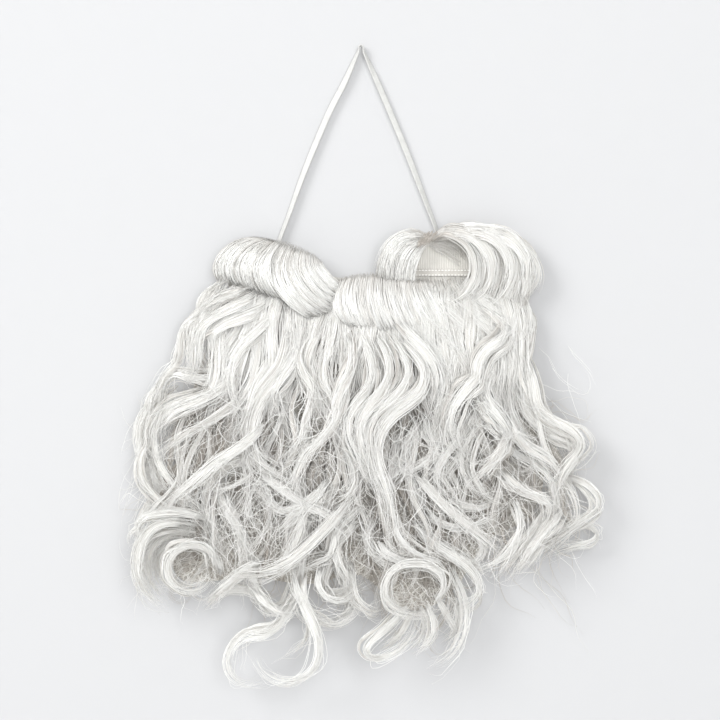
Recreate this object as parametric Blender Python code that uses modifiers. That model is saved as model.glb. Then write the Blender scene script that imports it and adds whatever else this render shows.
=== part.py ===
"""A long, curly, white costume beard that hangs from its elastic.

+X is to the viewer's right, +Z is up and -Y is towards the viewer. The origin is the underside of
the elastic's fold, where the beard hangs. Sizes in the tables are millimetres.
"""

import math

import bmesh
import bpy
from mathutils import Matrix, Vector

MM = 0.001
GAP = 0.3

# The elastic: a flat band, folded over a thin hook or nail.
STRAP_WIDTH = 5.0
STRAP_THICKNESS = 0.9
FOLD_INNER_RADIUS = 1.2
FOLD_STEPS = 8
STRAP_STEP = 9.0

# The cloth that carries the hair, and the stitched band of the weft on its front.
BACKING_THICKNESS = 1.2
TAPE_THICKNESS = 1.5
TAPE_HEIGHT = 6.0
TAPE_LEFT, TAPE_RIGHT = 24.0, 87.0
TAPE_MIDDLE_Z = -181.5

# The mat behind the back locks, and the sheet behind the front locks, which leans away from the mat
# towards its lower edge, about a level line near its top.
MAT_THICKNESS = 6.0
SHEET_THICKNESS = 4.5
SHEET_LEAN_FROM_Z = -196.0
SHEET_LEAN_DEGREES = 5.5

# A lock of hair: the form of its section, and how finely its path is divided.
SECTION_SIDES = 6
SECTION_FLATNESS = 0.62
LOCK_STEP = 15.0
CURL_STEPS_PER_TURN = 8
CURL_SHRINK = 0.35
ROLL_SIDES = 20
ROLL_RIBS = 5
ROLL_RIB_HEIGHT = 0.05

BACKING_BACK = STRAP_THICKNESS / 2 + GAP
BACKING_FRONT = BACKING_BACK + BACKING_THICKNESS
MAT_BACK = BACKING_FRONT + GAP
MAT_FRONT = MAT_BACK + MAT_THICKNESS
SHEET_BACK = MAT_FRONT + GAP

# Each leg of the elastic from the fold down: how far its face is turned away from the viewer.
STRAP_COLUMNS = ("x", "z", "turn")
LEFT_LEG = (
    (-2.6, -6.0, 90),
    (-14.0, -29.5, 42),
    (-26.4, -55.2, 12),
    (-44.8, -99.2, 20),
    (-57.0, -133.0, 36),
    (-64.0, -151.5, 0),
    (-71.0, -172.0, 0),
)
RIGHT_LEG = (
    (2.6, -6.0, 90),
    (16.0, -31.2, 48),
    (28.0, -64.0, 30),
    (38.4, -89.6, 24),
    (52.0, -125.0, 38),
    (60.0, -146.0, 0),
    (66.0, -167.0, 0),
)

# The crescent of cloth, clockwise from its left end: two raised corners and the dip for the chin.
OUTLINE_COLUMNS = ("x", "z")
BACKING_OUTLINE = (
    (-110, -180),
    (-96, -163),
    (-66, -159),
    (-42, -168),
    (-25, -184),
    (14, -184),
    (32, -164),
    (60, -154),
    (92, -153),
    (113, -163),
    (128, -182),
    (112, -212),
    (60, -226),
    (0, -229),
    (-58, -224),
    (-98, -206),
)

# The mat of frizzy hair that the back locks are fused to, clockwise from its top left corner.
MAT_OUTLINE = (
    (-112, -200),
    (-60, -200),
    (0, -202),
    (50, -205),
    (72, -213),
    (120, -213),
    (137, -250),
    (150, -300),
    (160, -345),
    (150, -385),
    (112, -412),
    (78, -452),
    (30, -446),
    (-6, -440),
    (-42, -462),
    (-92, -446),
    (-142, -434),
    (-168, -400),
    (-160, -352),
    (-150, -300),
    (-132, -245),
)

# The sheet of hair that the front locks are fused to.
SHEET_OUTLINE = (
    (-106, -202),
    (-68, -198),
    (-54, -205),
    (0, -204),
    (26, -197),
    (38, -190),
    (60, -190),
    (74, -212),
    (114, -215),
    (122, -250),
    (118, -300),
    (98, -338),
    (66, -352),
    (28, -362),
    (-12, -368),
    (-52, -352),
    (-84, -330),
    (-112, -300),
    (-124, -255),
)

# Locks, a row each. x0, z0 is the root and x1, z1 the start of the curl at the tip. bow is the
# sideways bulge of the whole lock and sway the height of its waves, both positive to the viewer's
# right on a lock that runs down. near0 and near1 are the depths in front of the hanging plane.
# curl is the radius of the tip's curl, and turns how far it runs, positive clockwise.
LOCK_COLUMNS = (
    "x0", "z0", "x1", "z1", "bow", "sway", "waves", "near0", "near1", "width", "curl", "turns",
)
BACK_LOCKS = (
    (-116, -208, -150, -292, -12, 7, 2.2, 6, 12, 11, 9, 0.45),
    (-124, -222, -121, -402, -47, 5, 2.0, 6, 12, 12, 12, -0.35),
    (-142, -296, -178, -404, -8, 5, 1.5, 6, 11, 12, 15, -0.75),
    (-104, -322, -113, -405, 12, 5, 1.0, 10, 13, 14, 21, 1.05),
    (-128, -330, -166, -440, 4, 6, 1.5, 7, 12, 10, 13, -0.70),
    (-92, -340, -112, -438, 6, 6, 1.5, 8, 14, 11, 20, -0.55),
    (-76, -356, -71, -488, 5, 6, 2.0, 8, 13, 12, 19, 0.85),
    (-52, -366, -33, -482, 4, 5, 2.0, 8, 13, 12, 21, 0.70),
    (-34, -350, -18, -436, -6, 5, 1.5, 8, 14, 11, 13, 0.80),
    (-12, -366, -5, -440, 5, 5, 1.0, 8, 15, 11, 12, -0.60),
    (24, -352, 8, -476, -6, 7, 2.0, 8, 14, 12, 14, -0.50),
    (54, -348, 68, -430, 8, 5, 1.0, 10, 14, 14, 22, 1.05),
    (66, -366, 82, -474, 4, 6, 1.5, 7, 12, 12, 19, 0.55),
    (88, -352, 96, -430, 6, 5, 1.0, 8, 14, 12, 14, 0.75),
    (106, -340, 112, -420, 6, 6, 1.5, 8, 14, 13, 16, -0.60),
    (124, -318, 150, -396, 4, 6, 1.5, 8, 14, 14, 14, 0.60),
    (134, -286, 185, -352, -4, 4, 1.0, 7, 12, 14, 18, 0.55),
    (126, -240, 161, -308, -9, 5, 1.0, 6, 12, 13, 12, 0.60),
    (116, -219, 140, -272, 6, 5, 1.0, 6, 12, 12, 10, -0.40),
)
FRONT_LOCKS = (
    (-98, -212, -142, -262, -6, 4, 1.5, 13, 23, 13, 8, 0.50),
    (-92, -216, -152, -310, 8, 5, 1.5, 13, 24, 15, 9, -0.40),
    (-84, -220, -132, -346, 12, 6, 2.0, 14, 27, 15, 12, 0.40),
    (-70, -226, -98, -344, -5, 7, 2.0, 14, 29, 16, 10, -0.50),
    (-54, -236, -77, -338, 4, 8, 1.5, 15, 31, 18, 12, -0.35),
    (-42, -236, -62, -362, -5, 7, 2.0, 15, 31, 15, 11, 0.50),
    (-28, -238, -46, -352, 8, 7, 1.5, 16, 33, 16, 12, 0.45),
    (-10, -239, -18, -376, -5, 7, 2.0, 15, 33, 16, 12, -0.50),
    (6, -240, 0, -366, 5, 7, 1.5, 16, 33, 16, 11, 0.50),
    (22, -240, 32, -392, 4, 11, 1.5, 16, 33, 17, 12, -0.45),
    (40, -236, 23, -352, 6, 7, 1.5, 15, 32, 16, 11, 0.40),
    (56, -222, 62, -366, -6, 8, 2.0, 13, 32, 16, 16, -0.45),
    (74, -222, 78, -336, 6, 9, 1.5, 13, 30, 16, 12, 0.45),
    (94, -222, 94, -348, 7, 8, 1.5, 13, 29, 16, 14, 0.50),
    (106, -222, 128, -306, -6, 6, 1.5, 12, 24, 15, 14, -0.50),
)

# Rolls of hair along the top edge, a row for each section: where its middle is, how far it reaches
# to either side of the roll's own line, and its half depth.
ROLL_COLUMNS = ("x", "z", "near", "half_width", "half_depth")
LEFT_ROLL = (
    (-119, -177, 13, 6, 8),
    (-114, -175, 16, 14, 13),
    (-103, -173, 20, 19, 17),
    (-90, -174, 21, 20, 18.7),
    (-77, -176, 21, 19, 18.7),
    (-71, -176, 20, 15, 16),
    (-67, -176, 18, 8, 10),
)
SLANTING_ROLL = (
    (-55, -163, 17, 6, 7),
    (-52, -169, 20, 12, 12),
    (-47, -180, 25, 16, 15.5),
    (-42, -192, 28.5, 18, 16),
    (-37, -202, 29.5, 17, 15.5),
    (-30, -210, 27.8, 11, 13),
    (-26, -214, 25, 5, 8),
)
MIDDLE_ROLL = (
    (-20.5, -206, 25, 8, 7),
    (-15, -206, 28, 19, 12),
    (-4, -206, 29.6, 24.5, 14.8),
    (14, -207, 29.8, 25.5, 15.2),
    (32, -208, 29.6, 23, 14.9),
    (48, -210, 27.5, 18, 12),
    (60, -212, 25, 9, 7.5),
)

# The nested C-shaped curls over the right corner: each is an arc about its own middle, from one
# angle to another, in degrees clockwise from straight up.
CURL_COLUMNS = ("x", "z", "radius_x", "radius_z", "from_deg", "to_deg", "near", "width")
RIGHT_CURLS = (
    (66, -180, 27, 30, -52, 172, 21, 13),
    (86, -178, 26, 29, -24, 176, 24, 15),
    (104, -180, 28, 29, -30, 180, 21, 15),
    (38, -172, 22, 16, -88, 30, 19, 11),
)
CORNER_PAD = (
    (90.5, -186, 10, 12, 6),
    (100, -184, 13.5, 21, 11),
    (115, -185, 13.5, 19, 10.5),
    (127, -190, 12, 10, 7),
)


def rows(table, columns):
    """The rows of a table as dictionaries, so that values are read by their column's name."""
    return [dict(zip(columns, row)) for row in table]


def collection(name):
    found = bpy.data.collections.new(name)
    bpy.context.scene.collection.children.link(found)
    return found


def material(name, colour, roughness):
    made = bpy.data.materials.new(name)
    made.use_nodes = True
    shader = made.node_tree.nodes["Principled BSDF"]
    shader.inputs["Base Color"].default_value = (*colour, 1.0)
    shader.inputs["Roughness"].default_value = roughness
    shader.inputs["Metallic"].default_value = 0.0
    return made


def on_plane(x, z, near=0.0):
    """A point given in millimetres, near being how far it lies towards the viewer."""
    return Vector((x * MM, -near * MM, z * MM))


def mesh_of_curve(curve, name):
    """The curve object as a mesh object with welded caps, in place of the curve."""
    bpy.context.view_layer.update()
    evaluated = curve.evaluated_get(bpy.context.evaluated_depsgraph_get())
    mesh = bpy.data.meshes.new_from_object(evaluated)
    mesh.transform(curve.matrix_world)
    work = bmesh.new()
    work.from_mesh(mesh)
    bmesh.ops.remove_doubles(work, verts=work.verts, dist=1e-6)
    bmesh.ops.recalc_face_normals(work, faces=work.faces)
    work.to_mesh(mesh)
    work.free()
    data = curve.data
    bpy.data.objects.remove(curve)
    bpy.data.curves.remove(data)
    mesh.name = name
    return bpy.data.objects.new(name, mesh)


def curve_object(name, dimensions):
    data = bpy.data.curves.new(name, "CURVE")
    data.dimensions = dimensions
    made = bpy.data.objects.new(name, data)
    bpy.context.scene.collection.objects.link(made)
    return made


def flat_piece(name, outline, thickness, back, lean_degrees=0.0, lean_from_z=0.0):
    """A flat piece with a smooth outline, standing in front of the hanging plane.

    It is drawn on the curve's own plane and stood up. lean_degrees tips its lower edge forward
    about a level line at lean_from_z.
    """
    shape = curve_object(name, "2D")
    shape.data.fill_mode = "BOTH"
    shape.data.extrude = thickness / 2 * MM
    shape.data.resolution_u = 3
    spline = shape.data.splines.new("BEZIER")
    spline.bezier_points.add(len(outline) - 1)
    spline.use_cyclic_u = True
    for point, row in zip(spline.bezier_points, rows(outline, OUTLINE_COLUMNS)):
        point.co = (row["x"] * MM, (row["z"] - lean_from_z) * MM, 0.0)
        point.handle_left_type = point.handle_right_type = "AUTO"
    stand_up = Matrix.Rotation(math.radians(90 - lean_degrees), 4, "X")
    middle = on_plane(0.0, lean_from_z, back + thickness / 2)
    shape.matrix_world = Matrix.Translation(middle) @ stand_up
    return mesh_of_curve(shape, name)


def smooth_route(points, step):
    """Points about a step apart on a smooth curve through the given ones (Catmull-Rom)."""
    ends = [2 * points[0] - points[1], *points, 2 * points[-1] - points[-2]]
    route = []
    for before, start, end, after in zip(ends, ends[1:], ends[2:], ends[3:]):
        parts = max(1, round((end - start).length / step))
        for index in range(parts):
            t = index / parts
            route.append(
                0.5
                * (
                    2 * start
                    + (end - before) * t
                    + (2 * before - 5 * start + 4 * end - after) * t**2
                    + (3 * start - before - 3 * end + after) * t**3
                )
            )
    return [*route, points[-1]]


def add_elastic_strap(name):
    """The band: up the left leg, edge-on round the fold, and down the right leg."""

    def leg(table):
        # The fourth number carries the turn through the same smoothing as the place.
        return smooth_route(
            [Vector((row["x"], row["z"], row["turn"] / 10)) for row in rows(table, STRAP_COLUMNS)],
            STRAP_STEP,
        )

    middle_radius = FOLD_INNER_RADIUS + STRAP_THICKNESS / 2
    fold = []
    for index in range(FOLD_STEPS + 1):
        angle = math.pi * (1 - index / FOLD_STEPS)
        x = middle_radius * math.cos(angle)
        z = middle_radius * math.sin(angle) - FOLD_INNER_RADIUS
        fold.append(Vector((x, z, 9.0)))
    left, right = leg(LEFT_LEG), leg(RIGHT_LEG)
    stations = [(p, 1) for p in reversed(left)] + [(p, 0) for p in fold] + [(p, -1) for p in right]

    strap = curve_object(name, "3D")
    strap.data.twist_mode = "Z_UP"
    strap.data.bevel_depth = STRAP_THICKNESS / 2 * MM
    strap.data.bevel_resolution = 0
    strap.data.extrude = (STRAP_WIDTH - STRAP_THICKNESS) / 2 * MM
    strap.data.use_fill_caps = True
    spline = strap.data.splines.new("POLY")
    spline.points.add(len(stations) - 1)
    for point, (station, side) in zip(spline.points, stations):
        point.co = (station.x * MM, station.y * MM, 0.0, 1.0)
        point.tilt = side * math.radians(90 - min(90.0, station.z * 10))
    strap.matrix_world = Matrix.Rotation(math.radians(90), 4, "X")
    return mesh_of_curve(strap, name)


def lock_section(flatness):
    """The outline of a lock's section, one unit from its middle to its side."""
    profile = curve_object("lock_section", "2D")
    spline = profile.data.splines.new("POLY")
    spline.points.add(SECTION_SIDES - 1)
    spline.use_cyclic_u = True
    for index, point in enumerate(spline.points):
        angle = 2 * math.pi * index / SECTION_SIDES
        point.co = (math.cos(angle), flatness * math.sin(angle), 0.0, 1.0)
    return profile


def tube_of_hair(name, stations, profile):
    """A tapered tube with the lock's section along stations of (x, z, near, half width)."""
    tube = curve_object(name, "3D")
    tube.data.twist_mode = "Z_UP"
    tube.data.bevel_mode = "OBJECT"
    tube.data.bevel_object = profile
    tube.data.use_fill_caps = True
    spline = tube.data.splines.new("POLY")
    spline.points.add(len(stations) - 1)
    for point, (x, z, near, half_width) in zip(spline.points, stations):
        point.co = (x * MM, z * MM, near * MM, 1.0)
        point.radius = half_width * MM
    tube.matrix_world = Matrix.Rotation(math.radians(90), 4, "X")
    return mesh_of_curve(tube, name)


def taper(t):
    """How wide a lock is along its length, from 0 at its root to 1 at its tip."""
    opening = 0.6 + 0.4 * min(1.0, t / 0.3)
    closing = min(1.0, (1.0 - t) / 0.3)
    return opening * (0.3 + 0.7 * closing)


def lock_stations(row):
    """The path of a lock: waves that grow towards its tip, then a curl that rises forward."""
    root, end = Vector((row["x0"], row["z0"])), Vector((row["x1"], row["z1"]))
    length = (end - root).length
    along = (end - root) / length
    across = Vector((-along.y, along.x))
    steps = max(6, math.ceil(length / LOCK_STEP))
    path = []
    for index in range(steps + 1):
        t = index / steps
        swing = row["sway"] * min(1.0, 0.3 + t) * math.sin(2 * math.pi * row["waves"] * t)
        side = row["bow"] * math.sin(math.pi * t) + swing
        place = root + along * length * t + across * side
        near = row["near0"] + (row["near1"] - row["near0"]) * t
        path.append((place, near))

    heading = (path[-1][0] - path[-2][0]).normalized()
    hand = math.copysign(1.0, row["turns"])
    # A clockwise curl has its middle to the right of the way that the lock runs.
    to_middle = Vector((heading.y, -heading.x)) * hand * row["curl"]
    middle = end + to_middle
    curl_steps = max(3, math.ceil(abs(row["turns"]) * CURL_STEPS_PER_TURN))
    for index in range(1, curl_steps + 1):
        t = index / curl_steps
        angle = -hand * 2 * math.pi * abs(row["turns"]) * t
        spoke = Matrix.Rotation(angle, 2) @ -to_middle
        place = middle + spoke * (1 - CURL_SHRINK * t)
        path.append((place, row["near1"] + row["width"] * 0.7 * abs(row["turns"]) * t))

    last = len(path) - 1
    return [
        (place.x, place.y, near, row["width"] / 2 * taper(index / last))
        for index, (place, near) in enumerate(path)
    ]


def arc_stations(row):
    """The path of a C-shaped curl, thin at both ends."""
    steps = 11
    stations = []
    for index in range(steps + 1):
        t = index / steps
        angle = math.radians(row["from_deg"] + (row["to_deg"] - row["from_deg"]) * t)
        x = row["x"] + row["radius_x"] * math.sin(angle)
        z = row["z"] + row["radius_z"] * math.cos(angle)
        width = row["width"] / 2 * (0.45 + 0.55 * math.sin(math.pi * t))
        stations.append((x, z, row["near"], width))
    return stations


def rolled_piece(name, table):
    """A thick roll: ribbed rings across the line of the table, joined and closed at its ends."""
    sections = rows(table, ROLL_COLUMNS)
    middles = [on_plane(row["x"], row["z"], row["near"]) for row in sections]
    work = bmesh.new()
    rings = []
    for index, (row, middle) in enumerate(zip(sections, middles)):
        ring = bmesh.ops.create_circle(work, segments=ROLL_SIDES, radius=1.0)["verts"]
        for vert in ring:
            angle = math.atan2(vert.co.y, vert.co.x)
            vert.co *= 1 + ROLL_RIB_HEIGHT * math.cos(ROLL_RIBS * angle)
        heading = middles[min(index + 1, len(middles) - 1)] - middles[max(index - 1, 0)]
        heading = Vector((heading.x, 0.0, heading.z)).normalized()
        forward = Vector((0.0, -1.0, 0.0))
        across = forward.cross(heading)
        place = Matrix.Identity(4)
        place.col[0].xyz = across * row["half_width"] * MM
        place.col[1].xyz = forward * row["half_depth"] * MM
        place.col[2].xyz = heading
        place.col[3].xyz = middle
        bmesh.ops.transform(work, matrix=place, verts=ring)
        rings.append(set(ring))
    for ring, after in zip(rings, rings[1:]):
        both = ring | after
        bmesh.ops.bridge_loops(work, edges=[e for e in work.edges if set(e.verts) <= both])
    for end in (rings[0], rings[-1]):
        bmesh.ops.contextual_create(work, geom=[e for e in work.edges if set(e.verts) <= end])
    bmesh.ops.recalc_face_normals(work, faces=work.faces)
    mesh = bpy.data.meshes.new(name)
    work.to_mesh(mesh)
    work.free()
    return bpy.data.objects.new(name, mesh)


def fused(base, locks, guides):
    """The base with its locks joined to it by one Boolean union, so that it is a single body."""
    operands = bpy.data.collections.new(f"{base.name}_locks")
    guides.children.link(operands)
    for lock in locks:
        operands.objects.link(lock)
        lock.hide_render = True
        lock.display_type = "WIRE"
    union = base.modifiers.new("fuse", "BOOLEAN")
    union.operation = "UNION"
    union.solver = "EXACT"
    union.operand_type = "COLLECTION"
    union.collection = operands
    union.use_self = True
    return base


def add_weft_tape(name):
    bpy.ops.mesh.primitive_cube_add(size=1.0)
    tape = bpy.context.object
    near = BACKING_FRONT + GAP + TAPE_THICKNESS / 2
    tape.location = on_plane((TAPE_LEFT + TAPE_RIGHT) / 2, TAPE_MIDDLE_Z, near)
    tape.scale = ((TAPE_RIGHT - TAPE_LEFT) * MM, TAPE_THICKNESS * MM, TAPE_HEIGHT * MM)
    bpy.ops.object.transform_apply(location=False, rotation=False, scale=True)
    edge = tape.modifiers.new("edge", "BEVEL")
    edge.width = 0.4 * MM
    edge.segments = 2
    tape.name = tape.data.name = name
    for holder in tape.users_collection:
        holder.objects.unlink(tape)
    return tape


def main():
    for old in list(bpy.data.objects):
        bpy.data.objects.remove(old)
    beard = collection("fake_beard")
    guides = collection("guides")

    white_hair = (0.90, 0.89, 0.87)
    finishes = {
        "elastic_strap": ((0.93, 0.93, 0.92), 0.7),
        "backing": ((0.62, 0.59, 0.54), 0.9),
        "weft_tape": ((0.86, 0.85, 0.82), 0.8),
    }

    profile = lock_section(SECTION_FLATNESS)
    for holder in profile.users_collection:
        holder.objects.unlink(profile)
    guides.objects.link(profile)
    profile.hide_render = True
    profile.display_type = "WIRE"

    def locks_of(table, columns, stations, name):
        return [
            tube_of_hair(f"{name}_{index:02d}", stations(row), profile)
            for index, row in enumerate(rows(table, columns))
        ]

    mat = flat_piece("back_locks", MAT_OUTLINE, MAT_THICKNESS, MAT_BACK)
    sheet = flat_piece(
        "front_locks",
        SHEET_OUTLINE,
        SHEET_THICKNESS,
        SHEET_BACK,
        SHEET_LEAN_DEGREES,
        SHEET_LEAN_FROM_Z,
    )
    corner = rolled_piece("right_curls", CORNER_PAD)
    pieces = [
        add_elastic_strap("elastic_strap"),
        flat_piece("backing", BACKING_OUTLINE, BACKING_THICKNESS, BACKING_BACK),
        add_weft_tape("weft_tape"),
        rolled_piece("left_roll", LEFT_ROLL),
        rolled_piece("slanting_roll", SLANTING_ROLL),
        rolled_piece("middle_roll", MIDDLE_ROLL),
        fused(corner, locks_of(RIGHT_CURLS, CURL_COLUMNS, arc_stations, "curl"), guides),
        fused(sheet, locks_of(FRONT_LOCKS, LOCK_COLUMNS, lock_stations, "front"), guides),
        fused(mat, locks_of(BACK_LOCKS, LOCK_COLUMNS, lock_stations, "back"), guides),
    ]
    for piece in pieces:
        beard.objects.link(piece)
        colour, roughness = finishes.get(piece.name, (white_hair, 0.4))
        piece.data.materials.clear()
        piece.data.materials.append(material(piece.name, colour, roughness))


main()
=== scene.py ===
# %% [markdown]
# The looks of a long, white, curly costume beard. It hangs flat in front of a pale wall by a thin
# elastic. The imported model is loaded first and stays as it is: it gives every place and size.

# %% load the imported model
import math

import bmesh
import bpy
import numpy as np
from mathutils import Matrix, Vector


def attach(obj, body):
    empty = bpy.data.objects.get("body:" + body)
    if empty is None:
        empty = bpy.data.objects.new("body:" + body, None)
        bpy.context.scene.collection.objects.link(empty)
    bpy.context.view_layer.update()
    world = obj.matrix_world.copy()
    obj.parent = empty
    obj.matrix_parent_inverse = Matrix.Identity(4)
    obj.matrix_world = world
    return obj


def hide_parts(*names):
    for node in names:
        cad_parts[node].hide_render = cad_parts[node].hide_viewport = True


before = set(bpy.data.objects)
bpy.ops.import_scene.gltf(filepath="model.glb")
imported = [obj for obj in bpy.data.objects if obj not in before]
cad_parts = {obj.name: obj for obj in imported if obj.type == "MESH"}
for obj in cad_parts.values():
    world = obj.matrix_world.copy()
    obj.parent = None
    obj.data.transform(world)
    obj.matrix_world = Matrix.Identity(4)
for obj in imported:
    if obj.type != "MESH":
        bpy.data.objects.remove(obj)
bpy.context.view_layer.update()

MM = 0.001
print("nodes:", ", ".join(sorted(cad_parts)))

# %% [markdown]
# The camera stands straight in front of the beard, far enough away that the view is nearly flat.
# One picture unit is 0.8 mm on the hanging plane. Routes of locks are drawn in picture units,
# because a lock of hair is best seen as a line in the view, and `seen` puts such a point at a
# given depth in front of the hanging plane so that it still falls there in the view.

# %% camera
PICTURE = 720
UNIT = 0.8 * MM
HANG_X, HANG_Y = 361, 46
CAMERA_DISTANCE = 1.6
SENSOR = 36.0
centre_x = (PICTURE / 2 - HANG_X) * UNIT
centre_z = (HANG_Y - PICTURE / 2) * UNIT

camera = bpy.data.objects.new("camera", bpy.data.cameras.new("camera"))
camera.data.sensor_width = SENSOR
camera.data.lens = SENSOR * CAMERA_DISTANCE / (PICTURE * UNIT)
camera.location = (centre_x, -CAMERA_DISTANCE, centre_z)
camera.rotation_euler = (math.radians(90), 0.0, 0.0)
bpy.context.scene.collection.objects.link(camera)
bpy.context.scene.camera = camera
print("lens in mm:", camera.data.lens)


def seen(picture_points, near):
    """Points of the view, in picture units, at a depth in mm in front of the hanging plane."""
    points = np.asarray(picture_points, float)
    depth = np.broadcast_to(np.asarray(near, float) * MM, points.shape[:-1])
    scale = UNIT * (CAMERA_DISTANCE - depth) / CAMERA_DISTANCE
    x = centre_x + (points[..., 0] - PICTURE / 2) * scale
    z = centre_z - (points[..., 1] - PICTURE / 2) * scale
    return np.stack([x, -depth, z], axis=-1)


# %% [markdown]
# A material is a graph of nodes. Each node could be made, set and linked in lines of its own, but
# then the graph is hard to see. `add_node` does all three in one call, so that a material reads as
# a list of what its surface has.

# %% material helpers
def set_inputs(material, node, inputs):
    """Gives inputs of a node their values, and links those whose value is another node's socket."""
    for place, value in inputs.items():
        if isinstance(value, bpy.types.NodeSocket):
            material.node_tree.links.new(value, node.inputs[place])
        else:
            node.inputs[place].default_value = value


def add_node(material, kind, settings, inputs):
    node = material.node_tree.nodes.new(kind)
    for setting, value in settings.items():
        setattr(node, setting, value)
    set_inputs(material, node, inputs)
    return node


def new_material(name, inputs):
    """A material and its shader."""
    material = bpy.data.materials.new(name)
    material.use_nodes = True
    shader = material.node_tree.nodes["Principled BSDF"]
    set_inputs(material, shader, inputs)
    return material, shader


def dress(material, shader, share, colours, height, strength, distance):
    """Colours a shader from one colour to another by a share, and raises its surface by a height."""
    colour = add_node(material, "ShaderNodeMix", {"data_type": "RGBA"},
                      {"A": (*colours[0], 1.0), "B": (*colours[1], 1.0), "Factor": share})
    ridges = add_node(material, "ShaderNodeBump", {},
                      {"Strength": strength, "Distance": distance, "Height": height})
    set_inputs(material, shader, {"Base Color": colour.outputs["Result"], "Normal": ridges.outputs["Normal"]})


# %% [markdown]
# The light is soft studio light: a large lamp at the upper left in front, and an even, pale
# surrounding. A distant backdrop would catch no shadows, so the wall is a stage piece close behind
# the hair, and the soft shadows of the curls fall on it. From behind it can be seen through, and it
# takes no light away from the back of the hair.

# %% light, wall and floor
WALL_BEHIND = 4 * MM
WALL_HALF, FLOOR_HALF = 3.0, 4.0
FLOOR_Z = -1.1
AIM = (0.0, 0.0, -0.3)


def plain_stage(name, colour, see_through_back):
    material, shader = new_material(
        name, {"Base Color": (*colour, 1.0), "Roughness": 0.9, "Specular IOR Level": 0.1})
    if see_through_back:
        back = add_node(material, "ShaderNodeNewGeometry", {}, {})
        clear = add_node(material, "ShaderNodeBsdfTransparent", {}, {})
        mix = add_node(material, "ShaderNodeMixShader", {}, {
            "Fac": back.outputs["Backfacing"], 1: shader.outputs["BSDF"], 2: clear.outputs["BSDF"]})
        output = material.node_tree.nodes["Material Output"]
        set_inputs(material, output, {"Surface": mix.outputs["Shader"]})
    return material


def new_piece(name, work, material):
    """An object made of a bmesh. It sits at the origin, with its place in its mesh."""
    mesh = bpy.data.meshes.new(name)
    work.to_mesh(mesh)
    work.free()
    mesh.materials.append(material)
    made = bpy.data.objects.new(name, mesh)
    bpy.context.scene.collection.objects.link(made)
    return made


def stage_sheet(name, half, matrix, material):
    work = bmesh.new()
    bmesh.ops.create_grid(work, x_segments=1, y_segments=1, size=half)
    bmesh.ops.transform(work, matrix=matrix, verts=work.verts)
    return new_piece(name, work, material)


stand_up = Matrix.Rotation(math.radians(90), 4, "X")
wall = stage_sheet("wall", WALL_HALF, Matrix.Translation((0.0, WALL_BEHIND, centre_z)) @ stand_up,
                   plain_stage("pale_wall", (0.571, 0.575, 0.583), True))
wall.visible_diffuse = False
wall.visible_glossy = False
wall.visible_transmission = False
wall.visible_shadow = False
floor = stage_sheet("floor", FLOOR_HALF, Matrix.Translation((0.0, 0.0, FLOOR_Z)),
                    plain_stage("pale_floor", (0.62, 0.62, 0.62), False))

world = bpy.data.worlds.new("pale_surrounding")
world.use_nodes = True
surrounding = world.node_tree.nodes["Background"]
surrounding.inputs["Color"].default_value = (0.995, 0.998, 1.0, 1.0)
surrounding.inputs["Strength"].default_value = 0.69
bpy.context.scene.world = world
bpy.context.scene.view_settings.view_transform = "Standard"


def lamp(name, place, size, power):
    light = bpy.data.lights.new(name, "AREA")
    light.shape = "DISK"
    light.size = size
    light.energy = power
    made = bpy.data.objects.new(name, light)
    made.location = place
    towards = Vector(AIM) - Vector(place)
    made.rotation_euler = towards.to_track_quat("-Z", "Y").to_euler()
    bpy.context.scene.collection.objects.link(made)


lamp("key_lamp", (-3.0, -2.9, 1.8), 2.5, 123.0)
lamp("front_lamp", (0.5, -3.4, 0.2), 2.4, 63.0)
lamp("back_lamp", (1.4, 3.0, 1.0), 1.6, 18.0)
print("wall", WALL_BEHIND / MM, "mm behind the hanging plane")

# %% [markdown]
# The finish of the hair. Synthetic fibre is smooth and glossy, and thousands of fibres side by
# side show as fine streaks along the lock. Blender's hair shader is meant for hair curves and is
# lost in an export, so this is the ordinary shader with an anisotropic gloss, which makes a bright
# band across the fibres. Each hair mesh carries a UV map, metres along the lock and metres across
# it, so that the streaks follow the lock, and an attribute `tone`, from 0, white, to 1, taupe. It
# holds each strand's own tone, and painted shade too: deep inside, at roots, in cores and slits,
# and where hair turns away.

# %% hair material
WHITE_HAIR = (0.958, 0.956, 0.93)
# The dark end of `tone`, used for darker strands and for painted shade.
TAUPE_HAIR_AND_SHADE = (0.47, 0.43, 0.385)
STREAKS_ALONG, STREAKS_ACROSS = 30.0, 1100.0


def hair_material(name, roughness, bump):
    material, shader = new_material(name, {
        "Roughness": roughness, "Specular IOR Level": 0.42,
        "Anisotropic": 0.8, "Anisotropic Rotation": 0.25,
        "Subsurface Weight": 0.12, "Subsurface Radius": (1.0, 0.95, 0.88), "Subsurface Scale": 1.2 * MM,
    })
    fibre = add_node(material, "ShaderNodeTangent", {"direction_type": "UV_MAP", "uv_map": "fibre"}, {})
    set_inputs(material, shader, {"Tangent": fibre.outputs["Tangent"]})
    place = add_node(material, "ShaderNodeUVMap", {"uv_map": "fibre"}, {})
    scale = add_node(material, "ShaderNodeMapping", {}, {
        "Scale": (STREAKS_ALONG, STREAKS_ACROSS, 1.0), "Vector": place.outputs["UV"]})
    streaks = add_node(material, "ShaderNodeTexNoise", {}, {
        "Scale": 1.0, "Detail": 3.0, "Vector": scale.outputs["Vector"]})
    tone = add_node(material, "ShaderNodeAttribute", {"attribute_name": "tone"}, {})
    streak_tone = add_node(material, "ShaderNodeMath", {"operation": "MULTIPLY_ADD"}, {
        0: streaks.outputs["Fac"], 1: 0.5, 2: -0.2})
    total = add_node(material, "ShaderNodeMath", {"operation": "ADD", "use_clamp": True}, {
        0: streak_tone.outputs["Value"], 1: tone.outputs["Fac"]})
    dress(material, shader, total.outputs["Value"], (WHITE_HAIR, TAUPE_HAIR_AND_SHADE),
          streaks.outputs["Fac"], bump, 0.4 * MM)
    return material


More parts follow.
